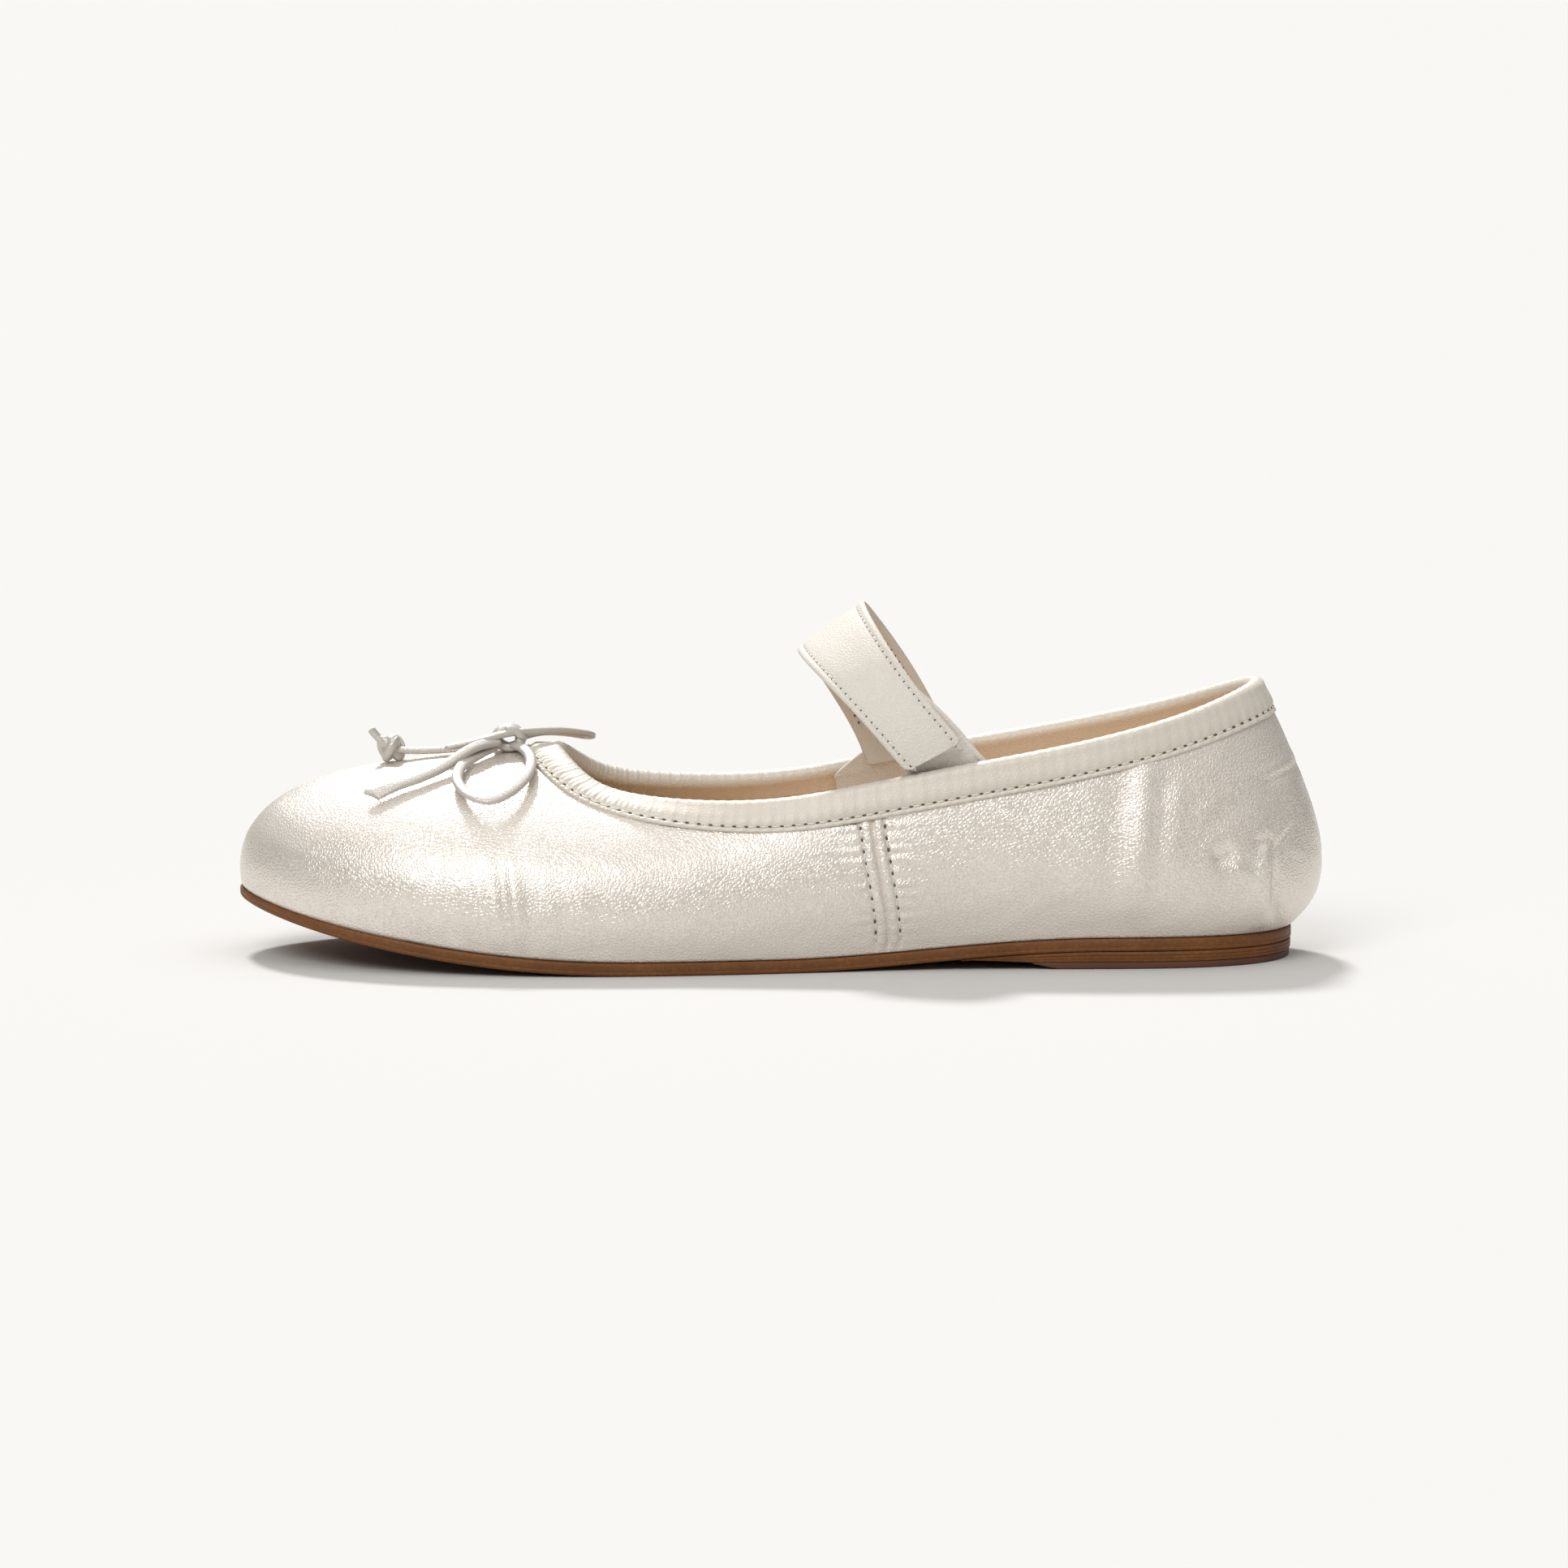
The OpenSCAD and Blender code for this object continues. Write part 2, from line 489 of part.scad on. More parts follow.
// Smooth curve through the route's own points
function route_at(p, i, u) = let (n = len(p) - 1, a = p[max(i - 1, 0)], b = p[i],
    c = p[min(i + 1, n)], d = p[min(i + 2, n)])
    (2 * b + (c - a) * u + (2 * a - 5 * b + 4 * c - d) * u ^ 2
        + (3 * b - a - 3 * c + d) * u ^ 3) / 2;
function route(p) = concat([for (i = [0 : len(p) - 2]) for (j = [0 : steps_per_point - 1])
    route_at(p, i, j / steps_per_point)], [p[len(p) - 1]]);
function cord_loops(path, r) = [for (i = [0 : len(path) - 1])
    let (along = unit(path[min(i + 1, len(path) - 1)] - path[max(i - 1, 0)]),
        side = unit(cross(along, [0, 0, 1])), up = cross(side, along))
    [for (a = [0 : 45 : 315]) path[i] + r * (cos(a) * side + sin(a) * up)]];
module cord(points) color(ivory) sweep(cord_loops(route(points), lace_d / 2));

module bow_loop_lateral() cord(LOOP_LATERAL);
module bow_loop_medial() cord(LOOP_MEDIAL);
module bow_tail_lateral() cord(TAIL_LATERAL);
module bow_tail_knotted() cord(TAIL_KNOTTED);
// A soft knot, wider than it is high
module pebble(centre, size) color(ivory) translate(centre) {
    layers = [-0.92, -0.6, 0, 0.6, 0.92];
    stack([for (h = layers) [for (i = [0 : 11]) let (a = 15 + 30 * i, w = sqrt(1 - h * h))
        [-w * size[0] / 2 * cos(a), -w * size[1] / 2 * sin(a), h * size[2] / 2]]]);
}
module bow_knot() pebble(k * [-62, -0.5, 50], [9, 8, 5.6]);
module tail_end_knot() pebble(k * [-89.3, 1.3, 47.3], [6.4, 6.4, 6]);

outsole();
heel_lift();
heel_top_piece();
shank();
bottom_filler();
insole_board();
heel_cushion();
sock_lining();
vamp();
lateral_quarter();
medial_quarter();
toe_puff();
heel_counter();
vamp_lining();
lateral_quarter_lining();
medial_quarter_lining();
topline_binding();
drawstring();
strap_anchor();
strap_outer();
strap_lining();
hook_tape();
tab_anchor();
tab_outer();
tab_lining();
loop_tape();
bow_knot();
bow_loop_lateral();
bow_loop_medial();
bow_tail_lateral();
bow_tail_knotted();
tail_end_knot();
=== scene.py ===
# %% [markdown]
# # A ballet flat with an instep strap
# A flat shoe is a few sheets of soft leather pulled over a last, a solid form of the foot, and
# glued to a thin sole. Every sheet here is made the same way: a flat grid is added, bent over
# the last's surface, creased where the real leather creases, and given its thickness.
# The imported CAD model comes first. It fixes where everything is, in metres.

# %% The frame
import math

import bpy
import numpy as np
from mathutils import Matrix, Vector


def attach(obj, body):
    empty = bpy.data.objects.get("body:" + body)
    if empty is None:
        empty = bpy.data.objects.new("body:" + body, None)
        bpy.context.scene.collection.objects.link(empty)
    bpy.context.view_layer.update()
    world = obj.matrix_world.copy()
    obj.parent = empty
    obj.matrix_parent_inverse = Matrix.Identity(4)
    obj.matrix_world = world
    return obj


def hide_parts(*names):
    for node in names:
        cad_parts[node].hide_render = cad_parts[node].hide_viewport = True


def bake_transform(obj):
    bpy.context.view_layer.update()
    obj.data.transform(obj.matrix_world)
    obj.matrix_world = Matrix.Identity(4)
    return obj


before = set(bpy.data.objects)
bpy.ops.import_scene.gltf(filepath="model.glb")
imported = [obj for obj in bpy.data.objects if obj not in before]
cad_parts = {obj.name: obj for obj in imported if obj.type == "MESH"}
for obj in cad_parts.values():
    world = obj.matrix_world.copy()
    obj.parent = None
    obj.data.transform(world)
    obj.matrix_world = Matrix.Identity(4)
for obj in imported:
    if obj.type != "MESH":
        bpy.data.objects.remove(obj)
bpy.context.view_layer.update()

MM = 0.001

# %% [markdown]
# ## Camera, floor and light
# A shoe is shown in profile, from a little above the floor and from far away, so that the toe
# and the heel keep their true sizes. A long lens does that: 179 mm at 1.8 m takes in 0.36 m.
# The floor is a plain sheet of pale paper, and the light comes from wide soft boxes, because a
# pearl leather shows whatever it mirrors.

# %% Camera
FIELD = 0.3618              # width of the view at the shoe
DISTANCE = 1.8
SENSOR = 36                 # mm
ELEVATION = math.radians(6.5)
AIM = Vector((0.0014, 0, 0.0392))
bpy.ops.object.select_all(action="DESELECT")
back = Vector((0, -math.cos(ELEVATION), math.sin(ELEVATION)))
bpy.ops.object.camera_add(location=AIM + DISTANCE * back)
camera = bpy.context.object
camera.name = "profile_camera"
camera.rotation_euler = (-back).to_track_quat("-Z", "Y").to_euler()
camera.data.sensor_width = SENSOR
camera.data.lens = SENSOR * DISTANCE / FIELD
bpy.context.scene.camera = camera
print("lens", round(camera.data.lens, 1), "mm")

# %% [markdown]
# Colours are written as sRGB hex values, as a colour picker gives them, and Blender mixes
# light in linear values, so one function turns the first into the second. A second small
# function adds a node to a material with its settings and links.

# %% Colour and node helpers
def linear(hex_colour):
    parts = [int(hex_colour[i:i + 2], 16) / 255 for i in (1, 3, 5)]
    return [c / 12.92 if c <= 0.04045 else ((c + 0.055) / 1.055) ** 2.4 for c in parts] + [1]


def add_node(material, kind, inputs=(), links=(), **settings):
    made = material.node_tree.nodes.new("ShaderNode" + kind)
    for key, value in settings.items():
        setattr(made, key, value)
    for key, value in dict(inputs).items():
        made.inputs[key].default_value = value
    for key, (source, output) in dict(links).items():
        material.node_tree.links.new(source.outputs[output], made.inputs[key])
    return made


def new_material(name, **shader_values):
    """A material whose shader takes these values, with _ for each space of a socket's name."""
    material = bpy.data.materials.new(name)
    material.use_nodes = True
    shader = material.node_tree.nodes["Principled BSDF"]
    for key, value in shader_values.items():
        shader.inputs[key.replace("_", " ")].default_value = value
    return material, shader


def feed(material, shader, **sources):
    """Links node outputs to the shader's sockets."""
    for key, (source, output) in sources.items():
        material.node_tree.links.new(source.outputs[output], shader.inputs[key.replace("_", " ")])


print("white is", linear("#FFFFFF"))

# %% Floor and lights
paper, paper_shader = new_material("studio_paper", Roughness=0.9)
paper_shader.inputs["Base Color"].default_value = linear("#CDCCCA")
paper_shader.inputs["Specular IOR Level"].default_value = 0.1
bpy.ops.object.select_all(action="DESELECT")
bpy.ops.mesh.primitive_plane_add(size=90)
floor = bpy.context.object
floor.name = "floor"
floor.data.materials.append(paper)

# The room is white: bright overhead, where the big soft boxes hang, and dimmer towards the
# walls, which gives the upright sides of the shoe their shade.
world = bpy.data.worlds.new("studio")
bpy.context.scene.world = world
world.use_nodes = True
room = world.node_tree.nodes["Background"]
room.inputs["Color"].default_value = linear("#FFFDFA")
way = add_node(world, "TexCoord")
parts = add_node(world, "SeparateXYZ", (), {0: (way, "Generated")})
glow = add_node(world, "MapRange",
                {"From Min": 0.15, "From Max": 0.95, "To Min": 0.32, "To Max": 0.95},
                {"Value": (parts, "Z")}, interpolation_type="SMOOTHSTEP")
beside = add_node(world, "Math", (), {0: (parts, "X"), 1: (parts, "X")}, operation="MULTIPLY")
dim = add_node(world, "MapRange", {"To Min": 1.0, "To Max": 0.45}, {"Value": (beside, "Value")})
both = add_node(world, "Math", (), {0: (glow, "Result"), 1: (dim, "Result")},
                operation="MULTIPLY")
world.node_tree.links.new(both.outputs["Value"], room.inputs["Strength"])
bpy.context.scene.view_settings.view_transform = "Standard"


def far_lamp(name, azimuth, elevation, width, strength):
    """A wide lamp far away, so that it lights the whole floor evenly. Angles in degrees."""
    bpy.ops.object.select_all(action="DESELECT")
    bpy.ops.object.light_add(type="SUN")
    light = bpy.context.object
    light.name = name
    light.data.energy = strength
    light.data.angle = math.radians(width)
    a, e = math.radians(azimuth), math.radians(elevation)
    toward = Vector((math.sin(a) * math.cos(e), -math.cos(a) * math.cos(e), math.sin(e)))
    light.rotation_euler = (-toward).to_track_quat("-Z", "Y").to_euler()


# The key lamp stands high behind the shoe, so its shadow falls a little in front of it; the
# wide front lamp fills that side and lays a broad shine on the vamp.
far_lamp("key_lamp", -166, 50, 8, 2.6)
far_lamp("front_lamp", -24, 40, 30, 1.3)

# %% [markdown]
# ## The last
# The surface of the upper is a fan of 24 profiles, as a last maker draws them. Each row gives
# a point on the feather line, where the upper meets the sole, a point on the cut edge at the
# topline, and two handles that bulge the profile between them. A closed B-spline blends
# the rows, so the surface can be read at any station s and any height t. All are millimetres.

# %% The last's stations
TOE = [-125.6, 4, -53.5, 2, 47.8, 4.5, 29.2, 35, 1.8]
LATERAL = [
    [-121, -12, -52, -6, 47, 5, 26.7, 31, 3.2],
    [-107, -27.5, -48, -14.5, 43.6, 6, 23.8, 26.8, 5],
    [-85, -38, -42, -21, 39.6, 6, 21, 20, 7],
    [-58, -42.5, -32, -26.5, 37.4, 6, 17, 14, 9],
    [-29, -41.5, -16, -30.5, 36.2, 5, 14, 9, 9],
    [0, -36.5, 2, -32, 36.4, 5, 13, 6, 10],
    [25, -31.5, 20, -31.5, 39.8, 5, 12, 4.5, 12],
    [50, -29, 44, -30.2, 44.2, 5, 12, 3.5, 14],
    [76, -29, 70, -28.5, 48.8, 6, 12, 4, 16],
    [99, -27, 93, -22.5, 54.4, 8, 12, 5.5, 17.5],
    [114.5, -17, 108, -12.5, 60, 12, 11.5, 8, 19]]
HEEL = [120, 0, 113.5, 0, 61.8, 17, 10, 10, 19]
MEDIAL = [
    [114.5, 17, 108, 12.5, 60, 12, 11.5, 8, 19],
    [99, 26.5, 93, 22, 54.4, 8, 12, 5.5, 17.5],
    [77, 28.5, 70, 27.5, 48.8, 6, 12, 4, 16],
    [51, 27, 44, 29, 44.2, 5, 12, 3.5, 14],
    [26, 26.5, 20, 30, 39.8, 5, 12, 4.5, 12],
    [1, 30, 2, 31, 36.4, 5, 13, 6, 10],
    [-28, 36, -16, 30.5, 36.2, 5, 14, 9, 9],
    [-57, 41.5, -32, 27.5, 37.4, 6, 17, 14, 9],
    [-84, 40, -42, 23.5, 39.6, 6, 21, 20, 7],
    [-106, 32, -48, 18, 43.6, 6, 23.8, 26.8, 5],
    [-121, 19.5, -52, 10, 47, 5, 26.7, 31, 3.2]]
LAST = np.array([TOE, *LATERAL, HEEL, *MEDIAL], float)
STATIONS = len(LAST)
HEEL_STATION = 12
SEAM_STATION = 7            # the side seams, at 7 on the lateral side and -7 on the medial
UPPER_T = 1.2
LINING_T = 0.8
WALL_T = UPPER_T + LINING_T
CEMENT = 0.05
print("stations", STATIONS)


# %% Reading the last
def unit(v):
    return v / np.linalg.norm(v, axis=-1, keepdims=True)


def ease(x):
    c = np.clip(x, 0, 1)
    return c * c * (3 - 2 * c)


def hump(x, middle, width):
    return np.exp(-((x - middle) / width) ** 2)


def bottom_z(x):
    return 13.5 * np.clip((-30 - x) / 95, 0, 1.2) ** 2 + 4 * ease(x / 75)


def feather_z(x):
    return bottom_z(x) + 3 * (0.73 + 0.27 * np.clip((x + 124) / 40, 0, 1)) + CEMENT


def spline(s, slope=False):
    """The stations' row at s, or how fast it changes there."""
    i = np.floor(s).astype(int)
    u = (s - i)[..., None]
    if slope:
        weights = [-(1 - u) ** 2 / 2, (3 * u ** 2 - 4 * u) / 2, (-3 * u ** 2 + 2 * u + 1) / 2,
                   u ** 2 / 2]
    else:
        weights = [(1 - u) ** 3 / 6, (3 * u ** 3 - 6 * u ** 2 + 4) / 6,
                   (-3 * u ** 3 + 3 * u ** 2 + 3 * u + 1) / 6, u ** 3 / 6]
    return sum(w * LAST[(i + k - 1) % STATIONS] for k, w in enumerate(weights))


def feather(s, off=0.0):
    """Points x, y of the feather line at stations s, moved out by off."""
    v, d = spline(s), spline(s, True)
    return v[..., :2] + off * unit(np.stack([d[..., 1], -d[..., 0]], -1))


def profile(s):
    """The four Bezier points of the profile at each station: shape (n, 4, 3)."""
    v, d = spline(s), spline(s, True)
    foot_out = unit(np.stack([d[:, 1], -d[:, 0]], -1))
    edge_out = unit(np.stack([d[:, 3], -d[:, 2]], -1))
    foot = np.stack([v[:, 0], v[:, 1], feather_z(v[:, 0])], -1)
    low = np.stack([v[:, 0] + v[:, 5] * foot_out[:, 0], v[:, 1] + v[:, 5] * foot_out[:, 1],
                    foot[:, 2] + v[:, 6]], -1)
    high = np.stack([v[:, 2] + v[:, 7] * edge_out[:, 0], v[:, 3] + v[:, 7] * edge_out[:, 1],
                     v[:, 4] - v[:, 8]], -1)
    return np.stack([foot, low, high, v[:, 2:5]], 1)


def bezier(p, t):
    """Points at t (n, m) of the curves p (n, 4, 3)."""
    u = t[..., None]
    p = p[:, None]
    return ((1 - u) ** 3 * p[:, :, 0] + 3 * u * (1 - u) ** 2 * p[:, :, 1]
            + 3 * u ** 2 * (1 - u) * p[:, :, 2] + u ** 3 * p[:, :, 3])


def wall(s, t):
    """Points of the skin at stations s (n) and heights t (n, m), with outward and upward."""
    step, u = 0.01, t[..., None]
    before, p, after = profile(s - step), profile(s), profile(s + step)
    q = p[:, None]
    up = unit((1 - u) ** 2 * (q[:, :, 1] - q[:, :, 0]) + 2 * u * (1 - u) * (q[:, :, 2] - q[:, :, 1])
              + u ** 2 * (q[:, :, 3] - q[:, :, 2]))
    out = unit(np.cross(bezier(after, t) - bezier(before, t), up))
    return bezier(p, t), out, up


def depth_to_height(s, below):
    """Height t of the place that lies below mm under the cut edge."""
    p = profile(s)
    reach = 3 * np.linalg.norm(p[:, 3] - p[:, 2], axis=-1)
    return 1 - np.asarray(below) / reach[:, None]


BINDING_H = 5.6
print("length of the last", round(float(LAST[:, 0].max() - LAST[:, 0].min()), 1), "mm")

# %% [markdown]
# ## Bending a sheet
# A grid is the flat cut of a piece of leather. Its corner in column i and row j is moved to
# its place on the shoe, its UV map keeps the flat lengths in metres, so that a pattern can
# follow the leather, and a Solidify modifier gives it thickness towards the foot.

# %% Sheet helpers
def only(piece):
    bpy.ops.object.select_all(action="DESELECT")
    piece.select_set(True)
    bpy.context.view_layer.objects.active = piece


def bent_sheet(name, points, merge=False):
    """A grid whose corners lie at points (columns, rows, 3), in mm."""
    cols, rows = points.shape[:2]
    bpy.ops.object.select_all(action="DESELECT")
    bpy.ops.mesh.primitive_grid_add(x_subdivisions=cols - 1, y_subdivisions=rows - 1, size=1)
    piece = bpy.context.object
    piece.name = piece.data.name = name
    flat = np.zeros(len(piece.data.vertices) * 3)
    piece.data.vertices.foreach_get("co", flat)
    flat = flat.reshape(-1, 3) + 0.5
    i = np.rint(flat[:, 0] * (cols - 1)).astype(int)
    j = np.rint(flat[:, 1] * (rows - 1)).astype(int)
    piece.data.vertices.foreach_set("co", (points[i, j] * MM).ravel())
    middle = points[:, rows // 2]
    across = points[cols // 2]
    along = np.concatenate([[0], np.cumsum(np.linalg.norm(np.diff(middle, axis=0), axis=1))])
    over = np.concatenate([[0], np.cumsum(np.linalg.norm(np.diff(across, axis=0), axis=1))])
    corner = np.zeros(len(piece.data.loops), int)
    piece.data.loops.foreach_get("vertex_index", corner)
    uv = np.stack([along[i[corner]], over[j[corner]]], -1) * MM
    piece.data.uv_layers.active.data.foreach_set("uv", uv.ravel())
    piece.data.update()
    if merge:
        close_seams(piece)
    return piece


def close_seams(piece, fill=False):
    only(piece)
    bpy.ops.object.mode_set(mode="EDIT")
    bpy.ops.mesh.select_all(action="SELECT")
    bpy.ops.mesh.remove_doubles(threshold=1e-6)
    if fill:
        bpy.ops.mesh.fill_holes(sides=0)
    bpy.ops.mesh.normals_make_consistent(inside=False)
    bpy.ops.object.mode_set(mode="OBJECT")


def thicken(piece, thickness):
    only(piece)
    solid = piece.modifiers.new("thickness", "SOLIDIFY")
    solid.thickness = thickness * MM
    solid.offset = -1
    bpy.ops.object.modifier_apply(modifier=solid.name)


def finished(piece, material, slot, body, *nodes, crease=40):
    """Smooths a piece, gives it its material and its body, and hides the CAD parts that it stands
    for; slot is not used.
    """
    only(piece)
    piece.data.materials.clear()
    piece.data.materials.append(material)
    bpy.ops.object.shade_smooth_by_angle(angle=math.radians(crease))
    if body:
        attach(piece, body)
    if nodes:
        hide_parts(*nodes)
    print(piece.name, len(piece.data.polygons), "faces")
    return piece


# %% [markdown]
# ## Leathers
# All the leathers share one build, because they are one kind of thing: skin with a grain of
# small pebbles and creases between them. A Voronoi pattern gives the pebbles at their real
# size, a slow noise the clouding of the dye, and a fast noise the pores. What differs is the
# finish: the upper has a coat of mica flakes that makes it pearly, the strap and binding are
# plain and matte, the lining is soft and undyed, and the sole is dense, brown and burnished.

# %% Leather
def leather(name, light, dark, grain, relief, rough, shade_in_creases, cloud, **values):
    """grain is the width of a pebble, relief the depth of its creases and cloud the width of
    the dye's clouds, all in mm. rough is the range of roughness, and shade_in_creases how far the
    creases are darkened, a painted shade."""
    material, shader = new_material(name, **values)
    place = add_node(material, "TexCoord")
    shift = add_node(material, "TexNoise", {"Scale": 1 / (3 * grain * MM), "Detail": 2},
                     {"Vector": (place, "Object")})
    warp = add_node(material, "VectorMath", {1: (0.7 * grain * MM,) * 3},
                    {0: (shift, "Color")}, operation="MULTIPLY")
    moved = add_node(material, "VectorMath", (),
                     {0: (place, "Object"), 1: (warp, "Vector")}, operation="ADD")
    pebbles = add_node(material, "TexVoronoi", {"Scale": 1 / (grain * MM)},
                       {"Vector": (moved, "Vector")}, feature="DISTANCE_TO_EDGE")
    domes = add_node(material, "MapRange", {"From Max": 0.32}, {"Value": (pebbles, "Distance")},
                     interpolation_type="SMOOTHSTEP")
    pores = add_node(material, "TexNoise", {"Scale": 1 / (0.35 * MM), "Detail": 3},
                     {"Vector": (place, "Object")})
    clouds = add_node(material, "TexNoise", {"Scale": 1 / (cloud * MM), "Detail": 4},
                      {"Vector": (place, "Object")})
    dyed = add_node(material, "Mix", {6: linear(dark), 7: linear(light)},
                    {0: (clouds, "Fac")}, data_type="RGBA")
    # Painted shade: the colour darkens in the creases between the pebbles, by up to
    # shade_in_creases.
    crease_shade_fac = add_node(material, "MapRange", {"To Min": 1 - shade_in_creases, "To Max": 1.0},
                    {"Value": (domes, "Result")})
    dyed_and_crease_shaded = add_node(material, "Mix", {6: linear(dark)},
                      {0: (crease_shade_fac, "Result"), 7: (dyed, 2)}, data_type="RGBA")
    dull = add_node(material, "MapRange", {"To Min": rough[0], "To Max": rough[1]},
                    {"Value": (clouds, "Fac")})
    fine = add_node(material, "Bump", {"Strength": 0.5, "Distance": 0.2 * relief * MM},
                    {"Height": (pores, "Fac")})
    coarse = add_node(material, "Bump", {"Strength": 1.0, "Distance": relief * MM},
                      {"Height": (domes, "Result"), "Normal": (fine, "Normal")})
    feed(material, shader, Base_Color=(dyed_and_crease_shaded, 2), Roughness=(dull, "Result"),
         Normal=(coarse, "Normal"))
    return material, shader


# A goat skin with a transfer coat of mica, pressed with a fine pebble: it mirrors wide soft
# patches of light, and each pebble breaks the edge of a patch into specks.
pearl_leather, _ = leather("pearl_coated_goat_leather", "#EFE9E1", "#E4DCD1", 0.8, 0.065,
                           (0.28, 0.38), 0.25, 18, Metallic=0.55, Coat_Weight=0.1,
                           Coat_Roughness=0.25)
# The strap is the same skin without the coat of mica, so it is chalky with a soft shine.
strap_leather, _ = leather("ivory_goat_leather", "#E2DDD5", "#D6CFC5", 0.75, 0.08, (0.52, 0.64),
                           0.4, 20, Specular_IOR_Level=0.4, Sheen_Weight=0.1)
# The lining is undyed pigskin: matte, warm, with fine open pores.
lining_leather, _ = leather("natural_pigskin_lining", "#E0CBB2", "#D2B999", 1.1, 0.03,
                            (0.7, 0.85), 0.3, 25, Sheen_Weight=0.15)
sock_leather, _ = leather("natural_pigskin_sock", "#EAD8C2", "#DFC9AE", 1.2, 0.03, (0.66, 0.8),
                          0.3, 25, Sheen_Weight=0.15)
# The strap is backed with the same pigskin, dyed ivory to match its face.
backing_leather, _ = leather("ivory_pigskin_backing", "#DDD5C9", "#CFC5B6", 1.1, 0.03,
                             (0.6, 0.75), 0.3, 25, Sheen_Weight=0.15)
# The laces are strips of the ivory skin, folded and rolled, so their grain is pulled fine.
lace_leather, _ = leather("rolled_leather_lace", "#D6D2CC", "#BFB9B1", 0.6, 0.03, (0.36, 0.48),
                          0.35, 9, Metallic=0.4)
# The sole is vegetable-tanned cowhide, stained brown and burnished at its edge.
sole_leather, _ = leather("burnished_sole_leather", "#8C5A30", "#5C3716", 1.6, 0.03,
                          (0.45, 0.6), 0.35, 12, Specular_IOR_Level=0.3)
print("leathers", len(bpy.data.materials))

# %% [markdown]
# ## Laces
# The bow is tied from a lace of rolled leather: a strip folded on itself, so it is wider than
# it is thick and has a groove where the edges meet. Each run of it is a tube that follows a
# smooth route through a few points, flattened, and grooved except where it lies on the vamp.
# The route is the CAD's.

# %% Lace routes
LOOP_LATERAL = [[-61, -3, 48.8], [-58.2, -7, 48], [-56.6, -13, 46.4], [-57, -19.8, 44],
                [-60, -25.8, 41], [-65, -29.2, 38.9], [-70, -27.2, 39.8], [-73, -21.5, 42.3],
                [-72.4, -14.5, 45], [-69, -8.5, 46.8], [-65, -3.5, 48.5]]
LOOP_MEDIAL = [[-60, 2, 49.8], [-55, 6, 50.6], [-50, 11, 50], [-45.6, 14.5, 49],
               [-43.6, 13.2, 49], [-45, 9.5, 50], [-50, 4.5, 51.2], [-56, 0, 51.6],
               [-62, -3.5, 51.4], [-69, -6, 49.8], [-76.5, -7, 48.2]]
TAIL_LATERAL = [[-64, -4.5, 49.7], [-69, -8.6, 48.9], [-73, -12, 47], [-77, -15.2, 44.6],
                [-82, -18, 42.6], [-87.5, -19.8, 40.9], [-93, -21, 39]]
TAIL_KNOTTED = [[-64, 1.5, 48.7], [-70, 1.5, 47.8], [-76, 1, 47.2], [-82, 1, 46.9],
                [-86.5, 1, 47], [-90, 1.5, 48], [-92.2, 2, 49.7], [-94, 2.4, 51.7]]
LACE_W, LACE_H = 2.6, 1.7
LACE_SIDES = 20
ON_VAMP = (0.1, -0.6, 0.8)  # the laces of the lateral side lie flat on the vamp there


def route(points, steps=8):
    """A smooth curve through the points: a Catmull-Rom spline, read steps times a span."""
    p = np.array(points, float)
    p = np.concatenate([p[:1], p, p[-1:]])
    u = (np.arange(steps) / steps)[:, None]
    spans = [(2 * b + (c - a) * u + (2 * a - 5 * b + 4 * c - d) * u ** 2
              + (3 * b - a - 3 * c + d) * u ** 3) / 2
             for a, b, c, d in zip(p, p[1:], p[2:], p[3:])]
    return np.concatenate([*spans, p[-1:]])


def tube(name, line, width=LACE_W, height=LACE_H, wide_end=0.0, slant=0.0, tilt=None):
    """A flattened tube along line, grooved unless a tilt lays it flat on a surface. wide_end
    spreads its last 8 mm, and slant cuts it."""
    along = unit(np.gradient(line, axis=0))
    up = np.array([0, 0, 1.0]) if tilt is None else np.asarray(tilt, float)
    side = unit(np.cross(along, np.broadcast_to(up, along.shape)))
    over = np.cross(side, along)
    left = np.linalg.norm(line - line[-1], axis=1)
    spread = 1 + wide_end * ease(1 - left / 8)
    angle = np.linspace(0, 2 * np.pi, LACE_SIDES + 1)
    across = width / 2 * np.sign(np.cos(angle)) * np.abs(np.cos(angle)) ** 0.8
    rise = height / 2 * np.sign(np.sin(angle)) * np.abs(np.sin(angle)) ** 0.8
    groove = (0.22 if tilt is None else 0.04) * height * hump(angle, np.pi / 2, 0.28)
    ends = np.ones(len(line))
    ends[[0, -1]] = 0.55
    rings = (line[:, None] + (across * (spread * ends)[:, None])[..., None] * side[:, None]
             + ((rise - groove) * (ends / spread ** 0.5)[:, None])[..., None] * over[:, None])
    rings = rings + (slant * ease(1 - left / 3)[:, None] * across)[..., None] * along[:, None]
    piece = bent_sheet(name, rings, merge=True)
    close_seams(piece, fill=True)
    return piece


# %% Knots
# An overhand knot pulled tight is a trefoil, and the bow's knot is a lace wound twice round
# the crossing of its own runs.
def knotted(name, centre, size, line):
    piece = tube(name, line, width=2.3, height=1.9)
    co = np.array([v.co for v in piece.data.vertices]) / MM
    low, high = co.min(0), co.max(0)
    co = (co - (low + high) / 2) * np.array(size) / (high - low) + np.array(centre)
    piece.data.vertices.foreach_set("co", (co * MM).ravel())
    piece.data.update()
    return piece


